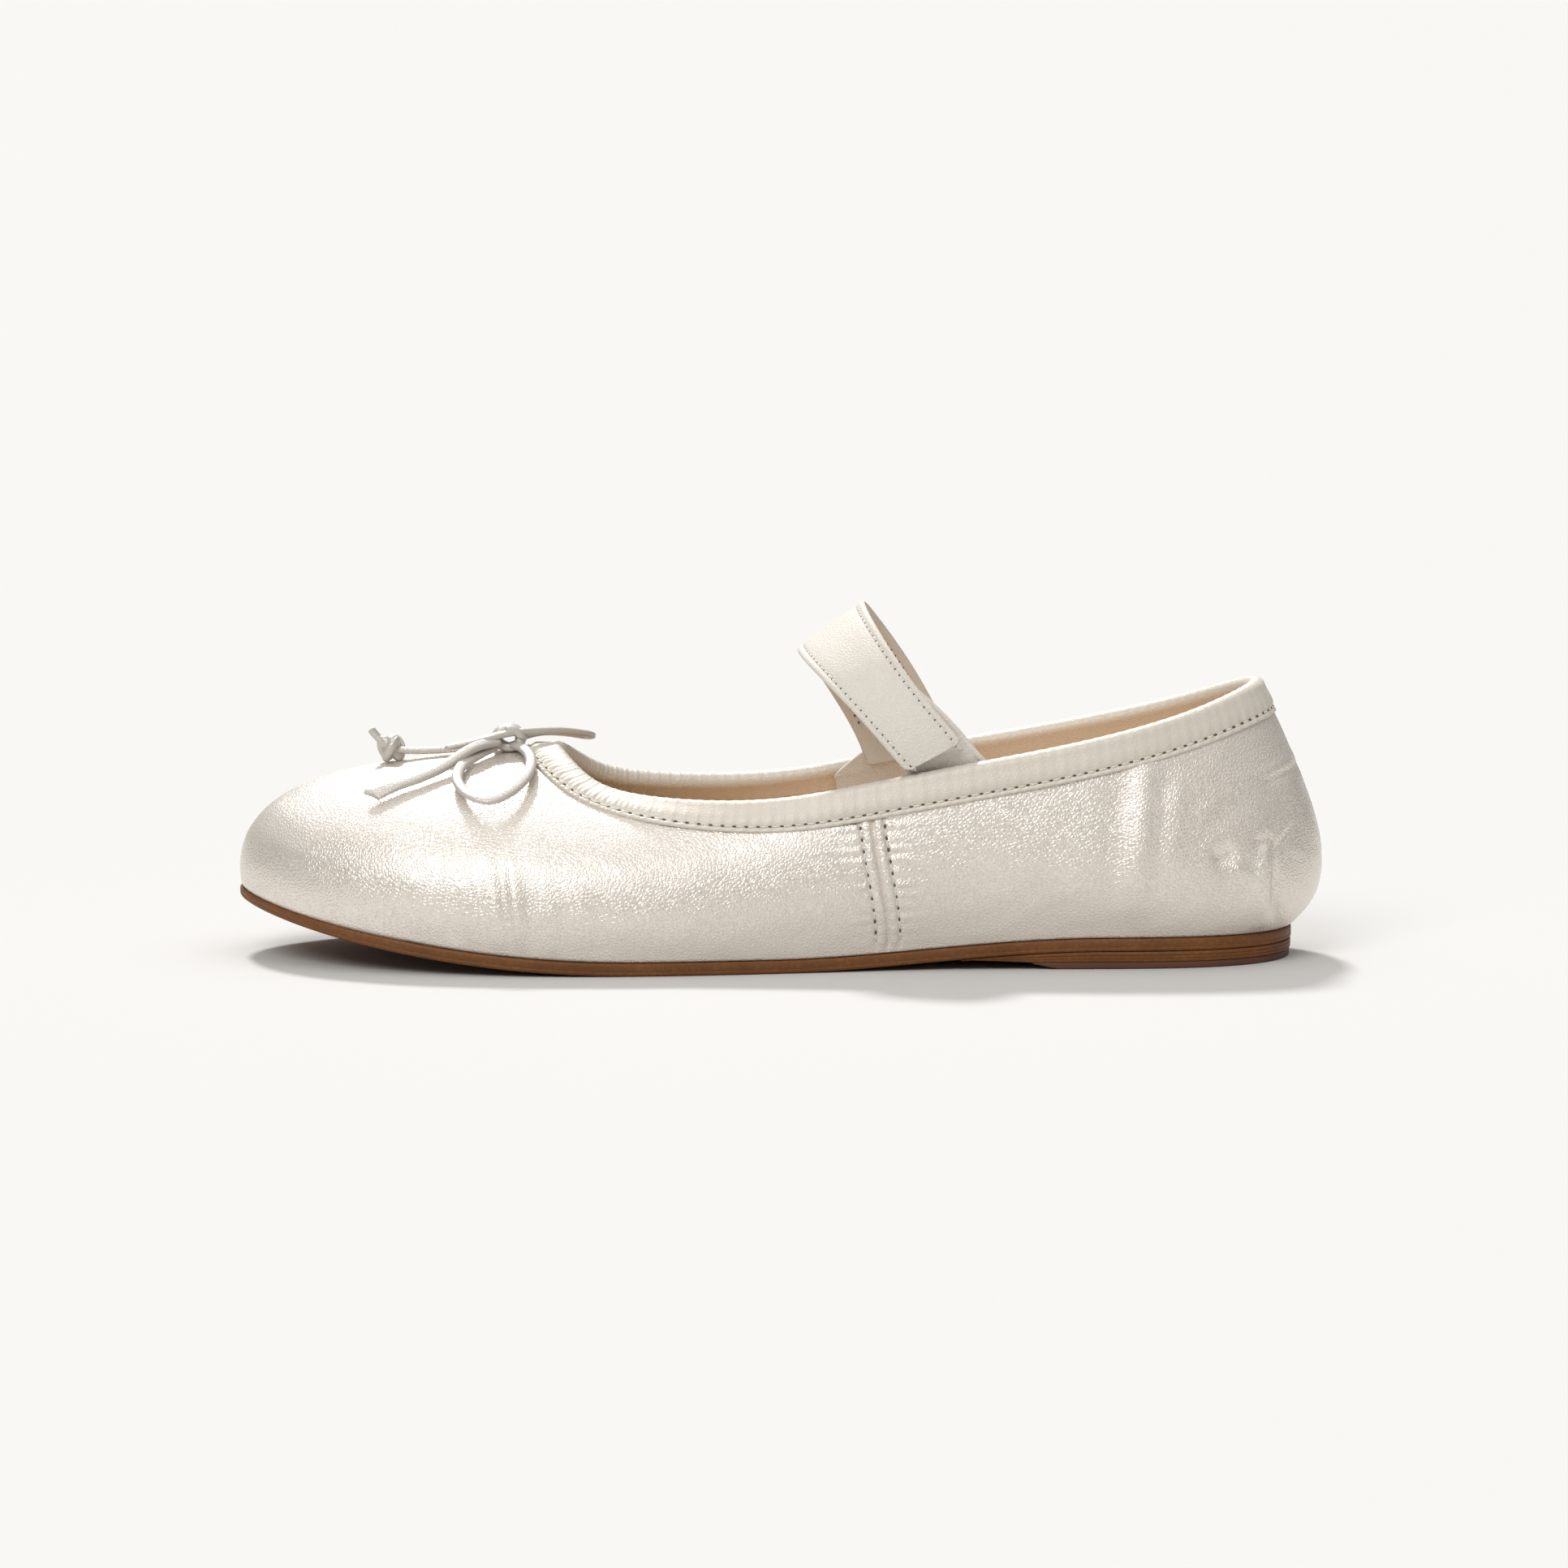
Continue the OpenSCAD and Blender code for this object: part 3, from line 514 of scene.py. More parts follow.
turn = np.linspace(0, 2 * np.pi, 97)[:-1]
trefoil = np.stack([np.sin(turn) + 2 * np.sin(2 * turn), np.cos(turn) - 2 * np.cos(2 * turn),
                    -1.1 * np.sin(3 * turn)], -1) * 0.85
end_knot = knotted("overhand_knot", (-89.3, 1.3, 47.3), (6.6, 6.4, 6.0), trefoil)
wind = np.linspace(-0.3, 2.3 * 2 * np.pi, 120)
winding = np.stack([2.3 * np.sin(wind), 1.9 * wind / np.pi / 2.3 - 1.6, 1.7 * np.cos(wind)], -1)
bow_knot = knotted("bow_knot_winding", (-62, -0.5, 50), (8.4, 8.2, 6.2), winding)
for piece, node in ((end_knot, "tail_end_knot"), (bow_knot, "bow_knot")):
    finished(piece, lace_leather, "lace_leather", "shoe", node, crease=60)

# %% Free laces
for name, points, far_end, node, ways in (
        ("lateral_bow_loop", LOOP_LATERAL, "object", "bow_loop_lateral",
         {"tilt": ON_VAMP, "height": 1.5}),
        ("medial_bow_loop", LOOP_MEDIAL, "object", "bow_loop_medial", {}),
        ("lateral_lace_tail", TAIL_LATERAL, "bare", "bow_tail_lateral",
         {"tilt": ON_VAMP, "wide_end": 0.7, "slant": 0.9}),
        ("knotted_lace_tail", TAIL_KNOTTED, "knot", "bow_tail_knotted", {})):
    line = route(points)
    piece = finished(tube(name, line, **ways), lace_leather, "lace_leather", "shoe", node,
                     crease=60)

# %% [markdown]
# ## The upper
# The upper is three pieces of pearl leather: the vamp round the toe, and two quarters that meet
# at the back of the heel. Each is turned under the foot by a lasting margin. The relief on it
# is what sewing and lasting do to soft leather: at a side seam it swells between two rows of
# stitches and puckers outside them, at the ball it falls in a few soft pleats, and over the
# heel it wrinkles where it was gathered round the tight curve.

# %% Relief of the leather
STITCH_PITCH = 2.7
STITCH_OFF = 2.8            # from the seam to each row of stitches


def seam_relief(away, height):
    """Rise of the skin at a distance from the side seam, and at a height on the wall."""
    wave = 2 * np.pi * height / STITCH_PITCH
    outside = ease((away - STITCH_OFF) / 1.2) * np.exp(-np.maximum(away - STITCH_OFF, 0) / 3.2)
    reach = 0.6 + 0.4 * np.sin(0.83 * height + 1)
    pull = 0.35 + 0.65 * ease((height - 8) / 14)
    return (0.2 * hump(away, 1.4, 0.9) * (1 + 0.3 * np.cos(wave))
            - 0.5 * hump(away, 0, 0.45) - 0.34 * hump(away, STITCH_OFF, 0.5)
            + 0.5 * pull * outside * reach * np.cos(wave + 0.4 * np.sin(0.5 * height)))


def pleat_relief(x, z):
    """Soft upright pleats beside the ball of the foot."""
    place = [(-61, 0.8, 1.1, 16, 9), (-66.5, 0.4, 1.7, 13, 7), (-55, 0.42, 1.8, 13, 8),
             (-49, 0.3, 2.4, 12, 7), (-73, 0.3, 2.2, 12, 6), (-41, 0.22, 3.0, 12, 7)]
    return sum(-deep * hump(x + 0.12 * (z - 12), at, wide) * hump(z, high, tall)
               + 0.7 * deep * hump(x + 0.12 * (z - 12), at + 2.1 * wide, 1.3 * wide)
               * hump(z, high, tall) for at, deep, wide, high, tall in place)


def crease(x, z, line, rise, wide):
    """A fold along the line from x0, z0 to x1, z1: a ridge, or a groove where rise is below 0."""
    x0, z0, x1, z1 = line
    length = math.hypot(x1 - x0, z1 - z0)
    along = ((x - x0) * (x1 - x0) + (z - z0) * (z1 - z0)) / length - length / 2
    beside = ((x - x0) * (z1 - z0) - (z - z0) * (x1 - x0)) / length
    return rise * hump(beside, 0, wide) * np.exp(-(along / (0.62 * length)) ** 4)


# Where the quarter was gathered over the heel counter: an upright fold with a sharp rear edge
# and a pinch above it, a dent in front, and two broad swells further forward.
HEEL_FOLDS = [
    ((109.6, 10, 111.4, 25.5), 1.2, 2.0), ((113.4, 13, 113.0, 25), -0.8, 0.9),
    ((109, 28.4, 113, 28.8), -0.6, 1.4), ((113.2, 26, 117.6, 30.8), -0.45, 0.9),
    ((99.6, 25, 103.6, 26.8), -0.8, 2.2), ((104.4, 23.6, 108, 20), 0.3, 2.0),
    ((111.6, 41.6, 118.4, 43.4), -0.4, 0.9), ((111, 43.8, 118.4, 46), 0.3, 1.2),
    ((81.6, 18, 83.6, 45), 0.9, 3.2), ((89.4, 24, 91, 42), 0.4, 2.6),
    ((75.6, 22, 76.8, 42), -0.3, 3.0), ((94, 30, 104, 37), -0.25, 2.8)]


def heel_relief(x, z):
    """Folds of the quarter over the heel counter."""
    return sum(crease(x, z, line, rise, wide) for line, rise, wide in HEEL_FOLDS)


def slow_relief(p):
    """The unevenness of a hand-lasted skin, a tenth or two of a millimetre over a few mm."""
    x, y, z = p[..., 0], p[..., 1], p[..., 2]
    return (0.07 * np.sin(x / 3.1 + 1.7 * np.sin(z / 4.3) + y / 5.0)
            * np.sin(z / 2.3 + 1.3 * np.sin(x / 6.1))
            + 0.09 * np.sin(x / 7.7 + z / 5.1 + 2 * np.sin(y / 9.0)))


print("deepest seam groove", float(seam_relief(np.zeros(1), np.zeros(1))[0]), "mm")

# %% Upper pieces
MARGIN = [-12, -8, -4, -1.6, -0.5]
UPPER_SHOWN, LINING_SHOWN = 1.1, 0.7     # a little thinner than the CAD, to leave a gap


def dense(start, stop, middle, fine=30, reach=0.34):
    """Columns from start to stop that crowd together towards both ends."""
    inner = np.linspace(start + reach, stop - reach, middle)
    ends = np.linspace(0, reach, fine + 1)[:-1]
    return np.concatenate([start + ends, inner, stop - ends[::-1]])


def lasted_points(s, heights, depth, relief=None):
    """The margin turned under the foot, then the wall, at a depth under the skin."""
    p, out, up = wall(s, heights)
    lift = np.zeros(heights.shape) if relief is None else relief(p)
    p = p + (lift - depth)[..., None] * out
    under = []
    for off in MARGIN:
        xy = feather(s, off - (0 if off < -1 else depth))
        under.append(np.concatenate([xy, (feather_z(xy[:, 0]) + depth)[:, None]], 1))
    return np.concatenate([np.stack(under, 1), p], 1)


def leather_panel(name, start, stop, middle, first_seam, last_seam, *nodes):
    s = dense(start, stop, middle)
    heights = np.broadcast_to(np.linspace(0.012, 1, 84) ** 1.05, (len(s), 84))

    def relief(p):
        gaps = np.linalg.norm(np.diff(p, axis=0), axis=2)
        run = np.concatenate([np.zeros((1, p.shape[1])), np.cumsum(gaps, axis=0)])
        rise = np.linalg.norm(np.diff(p, axis=1), axis=2)
        height = np.concatenate([np.zeros((len(p), 1)), np.cumsum(rise, axis=1)], 1)
        x, z = p[..., 0], p[..., 2]
        lift = slow_relief(p) + pleat_relief(x, z) + heel_relief(x, z)
        lift = lift * np.where(p[..., 1] > 0, 0.75, 1)
        for away, kind in ((run, first_seam), (run[-1:] - run, last_seam)):
            if kind == "side":
                lift = lift + seam_relief(away, height)
            else:
                lift = lift - 0.45 * hump(away, 0, 0.7) + 0.15 * hump(away, 1.6, 0.8)
        return lift * ease(height / 3)

    piece = bent_sheet(name, lasted_points(s, heights, 0.0, relief))
    thicken(piece, UPPER_SHOWN)
    return finished(piece, pearl_leather, "pearl_leather", "shoe", *nodes)


leather_panel("vamp_leather", -SEAM_STATION, SEAM_STATION, 380, "side", "side", "vamp")
leather_panel("lateral_quarter_leather", SEAM_STATION, HEEL_STATION, 190, "side", "back",
              "lateral_quarter")
leather_panel("medial_quarter_leather", HEEL_STATION, STATIONS - SEAM_STATION, 190, "back",
              "side", "medial_quarter")

# %% [markdown]
# ## The lining
# The lining is a second, thinner skin inside the first. Round the toe and the heel it steps
# inwards, because a stiffener lies between the two there.

# %% Lining pieces
WALL_ROWS = [0, 0.05, 0.16, 0.3, 0.45, 0.6, 0.75, 0.89, 1]


def stiffener_depth(s, heights):
    """Room between the skins for the toe puff and the heel counter."""
    foot = depth_to_height(s, [BINDING_H])
    row = np.interp(heights / foot, WALL_ROWS, range(len(WALL_ROWS)))
    wrapped = (s + STATIONS) % STATIONS
    from_toe = np.minimum(wrapped, STATIONS - wrapped)[:, None]
    from_heel = np.abs(wrapped - HEEL_STATION)[:, None]
    toe = 0.8 * ease((3 - from_toe) / 1.2) * ease((5 - row) / 2)
    heel = 0.8 * ease((3 - from_heel) / 1.2) * ease((6 - row) / 2)
    return np.maximum(toe, heel) * ease(row)


LINING_SEAM = 6
for name, start, stop, node in (
        ("vamp_lining_leather", -LINING_SEAM, LINING_SEAM, "vamp_lining"),
        ("lateral_lining_leather", LINING_SEAM, HEEL_STATION, "lateral_quarter_lining"),
        ("medial_lining_leather", HEEL_STATION, STATIONS - LINING_SEAM, "medial_quarter_lining")):
    s = np.linspace(start, stop, 14 * (stop - start) + 1)
    heights = np.broadcast_to(np.linspace(0.012, 1, 44), (len(s), 44))
    depth = WALL_T + stiffener_depth(s, heights)
    points = lasted_points(s, heights, WALL_T)
    p, out, up = wall(s, heights)
    points[:, len(MARGIN):] = p - depth[..., None] * out
    piece = bent_sheet(name, points[::-1])      # turned over, so that it faces the foot
    thicken(piece, LINING_SHOWN)
    finished(piece, lining_leather, "lining_leather", "shoe", node)

# %% [markdown]
# ## Binding and stitches
# A strip of the ivory leather is folded over the cut edge and sewn through, with a drawstring
# inside its roll. The thread pulls it down at each stitch, so it gathers in small ribs that
# fade towards the roll. A stitch is modelled once, as a short stretched bead, and copied.

# %% Thread and stitches
# Bonded polyester thread, 0.45 mm thick, with a slight shine.
thread, thread_shader = new_material("bonded_polyester_thread", Roughness=0.45, Sheen_Weight=0.2)
place = add_node(thread, "TexCoord")
twist = add_node(thread, "TexWave", {"Scale": 1 / (2 * np.pi * 0.25 * MM), "Distortion": 1.5},
                 {"Vector": (place, "Object")}, bands_direction="DIAGONAL")
shade = add_node(thread, "Mix", {6: linear("#CFC8BC"), 7: linear("#E6E0D6")},
                 {0: (twist, "Fac")}, data_type="RGBA")
ply = add_node(thread, "Bump", {"Strength": 0.6, "Distance": 0.05 * MM}, {"Height": (twist, "Fac")})
feed(thread, thread_shader, Base_Color=(shade, 2), Normal=(ply, "Normal"))


# At each end of a stitch the needle leaves a hole; a small dark bead there is the painted shadow
# inside it.
hole_shade, hole_shader = new_material("needle_hole_shadow", Roughness=1.0)
place = add_node(hole_shade, "TexCoord")
fuzz = add_node(hole_shade, "TexNoise", {"Scale": 1 / (0.3 * MM)}, {"Vector": (place, "Object")})
dusk = add_node(hole_shade, "Mix", {6: linear("#4A4038"), 7: linear("#6E6258")},
                {0: (fuzz, "Fac")}, data_type="RGBA")
feed(hole_shade, hole_shader, Base_Color=(dusk, 2))


def beads(name, line, out, pitch, body, slot, start, length, thick, material):
    """Small beads along line, one every pitch mm."""
    run = np.concatenate([[0], np.cumsum(np.linalg.norm(np.diff(line, axis=0), axis=1))])
    at = np.arange(start + pitch / 2, run[-1], pitch)
    place = np.stack([np.interp(at, run, line[:, k]) for k in range(3)], -1)
    ahead = np.stack([np.interp(at + 0.4, run, line[:, k]) for k in range(3)], -1)
    behind = np.stack([np.interp(at - 0.4, run, line[:, k]) for k in range(3)], -1)
    face = unit(np.stack([np.interp(at, run, out[:, k]) for k in range(3)], -1))
    way = unit(ahead - behind)
    side = unit(np.cross(face, way))
    face = np.cross(way, side)
    bpy.ops.object.select_all(action="DESELECT")
    bpy.ops.mesh.primitive_uv_sphere_add(segments=8, ring_count=5, radius=0.5)
    bead = bpy.context.object
    size = np.array([length * pitch, thick, 0.8 * thick])
    shape = np.array([v.co for v in bead.data.vertices])
    shape = np.sign(shape) * np.abs(2 * shape) ** 0.8 / 2 * size
    copies = []
    for centre, axes in zip(place, np.stack([way, side, face], 1)):
        copy = bead.copy()
        copy.data = bead.data.copy()
        bpy.context.collection.objects.link(copy)
        copy.data.vertices.foreach_set("co", ((centre + shape @ axes) * MM).ravel())
        copies.append(copy)
    bpy.data.objects.remove(bead)
    bpy.ops.object.select_all(action="DESELECT")
    for copy in copies:
        copy.select_set(True)
    bpy.context.view_layer.objects.active = copies[0]
    bpy.ops.object.join()
    piece = bpy.context.object
    piece.name = piece.data.name = name
    return finished(piece, material, slot, body, crease=80)


def sew(name, line, out, pitch, body, slot):
    """A row of stitches along line, on a surface that faces out, with painted shadows in their
    needle holes.
    """
    beads(name + "_holes", line - 0.12 * out, out, pitch, body, slot, 0.5 * pitch, 0.34, 0.62,
          hole_shade)
    return beads(name, line, out, pitch, body, slot, 0.0, 0.68, 0.45, thread)


# %% Binding
# The binding is the strap's ivory skin, skived thin, with slow ribs across the strip. Blender's
# band wave repeats every 2 pi / 20 of its own coordinate.
RIB_PITCH = 0.9 * 2 * math.pi       # about 5.7 mm
PAINTED_SHADE_FROM, PAINTED_SHADE_TO = 11.8, 15.0       # across the strip in mm, where the ivory turns to a painted warm shade
binding_leather, binding_shader = leather("skived_ivory_binding", "#DCD7CC", "#CDC6B9", 0.8, 0.03,
                                          (0.45, 0.58), 0.3, 20, Metallic=0.12)
grain_bump = binding_shader.inputs["Normal"].links[0].from_node
flat = add_node(binding_leather, "UVMap")
ribs = add_node(binding_leather, "TexWave",
                {"Scale": 2 * math.pi / (20 * RIB_PITCH * MM), "Distortion": 1.2, "Detail": 1.0,
                 "Detail Scale": 40.0}, {"Vector": (flat, "UV")}, bands_direction="X")
rib_bump = add_node(binding_leather, "Bump", {"Strength": 0.5, "Distance": 0.12 * MM},
                    {"Height": (ribs, "Fac"), "Normal": (grain_bump, "Normal")})
# Inside the shoe the strip turns tan: painted shade, warmed by light thrown back from the lining.
section = add_node(binding_leather, "SeparateXYZ", (), {0: (flat, "UV")})
inside = add_node(binding_leather, "MapRange", {"From Min": PAINTED_SHADE_FROM * MM, "From Max": PAINTED_SHADE_TO * MM},
                  {"Value": (section, "Y")}, interpolation_type="SMOOTHSTEP")
outer_tint = binding_shader.inputs["Base Color"].links[0].from_node
painted_inner_shade = add_node(binding_leather, "Mix", {7: linear("#D8C3AA")},
                    {0: (inside, "Result"), 6: (outer_tint, 2)}, data_type="RGBA")
feed(binding_leather, binding_shader, Normal=(rib_bump, "Normal"), Base_Color=(painted_inner_shade, 2))

ROLL_R, ROLL_OUT, ROLL_UP = 2.1, -1.0, 1.3
BINDING_INNER = WALL_T + 2 * CEMENT
SEWN_AT = 4.3               # the stitches' distance below the cut edge
THROAT_GAP = 0.09
# Rows of the strip on its outer face: how far below the cut edge, and how far out
OUTER_ROWS = [(5.6, 0.08), (5.63, 0.4), (5.5, 0.68), (5.2, 0.82), (4.8, 0.74), (4.55, 0.55),
              (4.3, 0.45), (4.05, 0.55), (3.7, 0.82), (3.1, 1.02), (2.3, 1.12), (1.4, 1.12),
              (0.5, 1.06)]
INNER_ROWS = [(0.6, 0.86), (1.6, 0.88), (2.8, 0.85), (3.7, 0.8), (4.05, 0.62), (4.3, 0.5),
              (4.6, 0.6), (5.1, 0.78), (5.5, 0.6), (5.6, 0.1)]
ROLL_ANGLES = np.radians(np.linspace(-12, 196, 15))


def binding_points(s, gather):
    """Places across the strip at each station, gathered along the stitches."""
    rows = []
    edge, edge_out, edge_up = (v[:, 0] for v in wall(s, np.ones((len(s), 1))))
    run = np.concatenate([[0], np.cumsum(np.linalg.norm(np.diff(edge, axis=0), axis=1))])
    near_throat = 1 - ease((np.minimum(s, STATIONS - s) - 2) / 4)
    ripple = gather * np.cos(2 * np.pi * run / STITCH_PITCH)
    ripple = ripple + 0.2 * near_throat * np.cos(2 * np.pi * run / 1.35 + np.sin(run / 5))
    for side, table in ((1, OUTER_ROWS), (-1, INNER_ROWS)):
        level = depth_to_height(s, [down for down, _ in table])
        p, out, up = wall(s, level)
        for k, (down, proud) in enumerate(table):
            fade = hump(down, SEWN_AT, 2.4) * min(1, proud)
            off = proud + fade * ripple
            if side < 0:
                off = -(BINDING_INNER + off)
            rows.append(p[:, k] + off[:, None] * out[:, k])
        if side > 0:
            for a in ROLL_ANGLES:
                r = ROLL_R + 0.35 * ripple
                rows.append(edge + (ROLL_OUT + r * math.cos(a))[:, None] * edge_out
                            + (ROLL_UP + r * math.sin(a))[:, None] * edge_up)
    return np.stack(rows, 1)


s = np.linspace(THROAT_GAP, STATIONS - THROAT_GAP, 1240)
strip = bent_sheet("topline_binding_strip", binding_points(s, -0.12))
thicken(strip, 0.55)
finished(strip, binding_leather, "binding_leather", "shoe", "topline_binding")

# %% Stitches round the topline
s = np.linspace(THROAT_GAP, STATIONS - THROAT_GAP, 1000)
p, out, up = wall(s, depth_to_height(s, [SEWN_AT]))
sew("topline_stitches_outside", p[:, 0] + 0.58 * out[:, 0], out[:, 0], STITCH_PITCH, "shoe",
    "binding_leather")
sew("topline_stitches_inside", p[:, 0] - (BINDING_INNER + 0.62) * out[:, 0], -out[:, 0],
    STITCH_PITCH, "shoe", "binding_leather")

# %% Stitches of the side seams
def stitches_beside(name, seam, toward):
    """A row of stitches up the wall, STITCH_OFF from the side seam at station seam."""
    t = np.linspace(0.07, 1, 160)[None]
    base, _, _ = wall(np.array([float(seam)]), t)
    near, _, _ = wall(np.array([seam + 0.1 * toward]), t)
    step = STITCH_OFF / np.linalg.norm(near - base, axis=-1) * 0.1 * toward
    line, out = [], []
    for height, offset in zip(t[0], step[0]):
        p, o, _ = wall(np.array([seam + offset]), np.array([[height]]))
        line.append(p[0, 0])
        out.append(o[0, 0])
    line, out = np.array(line), np.array(out)
    stop = t[0] < depth_to_height(np.array([float(seam)]), [BINDING_H + 0.3])[0, 0]
    sew(name, (line - 0.22 * out)[stop], out[stop], STITCH_PITCH, "shoe", "pearl_leather")


for side, seam in (("lateral", SEAM_STATION), ("medial", STATIONS - SEAM_STATION)):
    for toward in (-1, 1):
        end = "front" if toward * (HEEL_STATION - seam) < 0 else "rear"
        stitches_beside(f"{side}_seam_stitches_{end}", seam, toward)

# %% [markdown]
# ## Sole and heel
# The outsole is one piece of brown leather with a softened edge, the heel is a thin wedge of
# stacked leather, and under it lies a rubber top piece. All of them are plates inside the
# feather line, so one helper makes them: columns run round the edge, and rows run from the
# middle line of the shoe out to the edge, up it, and back.

# %% Plates
def plate(name, s, rows, closed=True):
    """rows are (share of the way from the middle line to the edge, off the edge, height)."""
    mirror = STATIONS - s
    layers = []
    for share, off, height in rows:
        rim = feather(s, off)
        middle = (rim + feather(mirror, off)) / 2
        xy = middle + share * (rim - middle)
        layers.append(np.concatenate([xy, height(xy[:, 0])[:, None]], 1))
    piece = bent_sheet(name, np.stack(layers, 1)[::-1], merge=True)
    if not closed:
        close_seams(piece, fill=True)
    return piece


SHARES = [0, 0.25, 0.5, 0.72, 0.88, 0.96]


def top_z(x):
    return feather_z(x) - CEMENT


s = np.linspace(0, STATIONS, 577)
sole_rows = [(share, -0.6, bottom_z) for share in SHARES]
sole_rows += [(1, off, (lambda x, up=up: bottom_z(x) + up)) for off, up in
              ((-0.6, 0.0), (-0.15, 0.04), (0.2, 0.2), (0.38, 0.5), (0.4, 0.9), (0.34, 1.0),
               (0.4, 1.1))]
sole_rows += [(1, off, (lambda x, down=down: top_z(x) - down)) for off, down in
              ((0.4, 0.75), (0.36, 0.35), (0.2, 0.1), (-0.1, 0.0))]
sole_rows += [(share, -0.1, top_z) for share in SHARES[::-1]]
finished(plate("outsole_leather", s, sole_rows), sole_leather, "sole_leather", "shoe", "outsole")

# %% Heel
BREAST = 23 / 3
BREAST_X = float(spline(np.array([BREAST]))[0, 0])
TOP_PIECE_T = 1.6
BREAST_SLOPE = 16           # length of the slope at the front of the heel, mm


def lift_bottom(x):
    fall = np.clip(1 - (x - BREAST_X) / BREAST_SLOPE, 0, 1)
    return np.minimum(bottom_z(x) - 0.3,
                      TOP_PIECE_T + (bottom_z(np.array(BREAST_X)) - TOP_PIECE_T) * fall)


def between(low, high, share):
    return lambda x: low(x) + share * (high(x) - low(x))


def lift_top(x):
    return bottom_z(x) - CEMENT


s = np.linspace(BREAST, STATIONS - BREAST, 301)
lift_rows = [(share, -0.2, lift_bottom) for share in SHARES]
lift_rows += [(1, off, between(lift_bottom, lift_top, share)) for off, share in
              ((-0.2, 0.0), (0.1, 0.05), (0.2, 0.16), (0.22, 0.3), (0.1, 0.34), (0.22, 0.38),
               (0.26, 0.62), (0.12, 0.66), (0.26, 0.7), (0.28, 0.9), (0.1, 1.0))]
lift_rows += [(share, -0.2, lift_top) for share in SHARES[::-1]]
finished(plate("heel_stack", s, lift_rows, closed=False), sole_leather, "sole_leather", "shoe",
         "heel_lift")
print("heel breast at x", round(BREAST_X, 1), "mm")

# %% [markdown]
# The top piece is the part that walks on the ground. It is moulded rubber with a fine grain,
# harder and duller than leather, and it slopes up at its front so that it doesn't catch.

# %% Rubber top piece
# Nitrile rubber, moulded in a blasted tool: an even, dull, slightly rough brown.
rubber, rubber_shader = new_material("moulded_nitrile_rubber", Roughness=0.62)
place = add_node(rubber, "TexCoord")
blast = add_node(rubber, "TexNoise", {"Scale": 1 / (0.5 * MM), "Detail": 3},
                 {"Vector": (place, "Object")})
worn = add_node(rubber, "TexNoise", {"Scale": 1 / (12 * MM), "Detail": 5},
                {"Vector": (place, "Object")})
brown = add_node(rubber, "Mix", {6: linear("#4A2A19"), 7: linear("#6A412A")},
                 {0: (worn, "Fac")}, data_type="RGBA")
grit = add_node(rubber, "Bump", {"Strength": 0.5, "Distance": 0.08 * MM}, {"Height": (blast, "Fac")})
feed(rubber, rubber_shader, Base_Color=(brown, 2), Normal=(grit, "Normal"))

TOP_FRONT = BREAST_X + BREAST_SLOPE
around = np.linspace(BREAST, STATIONS - BREAST, 1201)
around = around[feather(around)[:, 0] > TOP_FRONT + 0.2]
s = np.linspace(around[0], around[-1], 261)


def tread(x):
    """Underside: flat on the ground, with a sloped front edge."""
    return (TOP_PIECE_T - 0.25) * np.clip((TOP_FRONT + 6 - x) / 6, 0, 1)


def tread_top(x):
    return np.full_like(x, TOP_PIECE_T - CEMENT)


top_rows = [(share, -0.4, tread) for share in SHARES]
top_rows += [(1, off, between(tread, tread_top, share)) for off, share in
             ((-0.4, 0.0), (-0.08, 0.12), (0.0, 0.3), (0.0, 0.8), (-0.1, 1.0))]
top_rows += [(share, -0.1, tread_top) for share in SHARES[::-1]]
finished(plate("rubber_top_piece", s, top_rows, closed=False), rubber, "heel_rubber", "shoe",
         "heel_top_piece")

# %% [markdown]
# ## Inside the shoe
# The sock lining is the leather that the foot stands on. It lies on a foam cushion under the
# heel, so it swells there, and it rises a little at its edge, where the upper's lining turns
# under it. The cushion is a soft pad, crowned in the middle and thin at its rim.

# %% Cushion and sock
BOARD_UP = WALL_T + 2 * CEMENT
SOCK_UP = BOARD_UP + 1.5 + CEMENT


def cushion_up(x):
    return 2 * ease((x - 44) / 22)


def above_feather(up, share=1.0, crown=0.0):
    return lambda x: feather_z(x) + up + share * cushion_up(x) + crown


def patterned(name, low, high, size, relief, kind="TexNoise", strength=0.6, **values):
    """A material with one pattern, whose features are size mm wide and relief mm deep."""
    material, shader = new_material(name, **values)
    spot = add_node(material, "TexCoord")
    pattern = add_node(material, kind, {"Scale": 1 / (size * MM)}, {"Vector": (spot, "Object")})
    output = "Fac" if kind == "TexNoise" else "Distance"
    tint = add_node(material, "Mix", {6: linear(low), 7: linear(high)},
                    {0: (pattern, output)}, data_type="RGBA")
    bump = add_node(material, "Bump", {"Strength": strength, "Distance": relief * MM},
                    {"Height": (pattern, output)})
    feed(material, shader, Base_Color=(tint, 2), Normal=(bump, "Normal"))
    return material


# Ethylene-vinyl foam, cut from a block, so its closed cells are open at the surface.
foam = patterned("cut_eva_foam", "#B9A98E", "#D8CBB3", 0.6, 0.15, "TexVoronoi", 0.7,
                 Roughness=0.9)

s = np.linspace(8, STATIONS - 8, 181)
pad_rows = [(share, -4, above_feather(SOCK_UP, 0)) for share in SHARES]
pad_rows += [(1, off, above_feather(SOCK_UP, share)) for off, share in
             ((-4, 0.0), (-3.9, 0.15), (-4.0, 0.5), (-4.6, 0.85))]
pad_rows += [(share, -4.6, above_feather(SOCK_UP - 0.08, 0.97)) for share in SHARES[::-1]]
pad = finished(plate("heel_foam_pad", s, pad_rows, closed=False), foam, "heel_foam", "shoe",
               "heel_cushion")

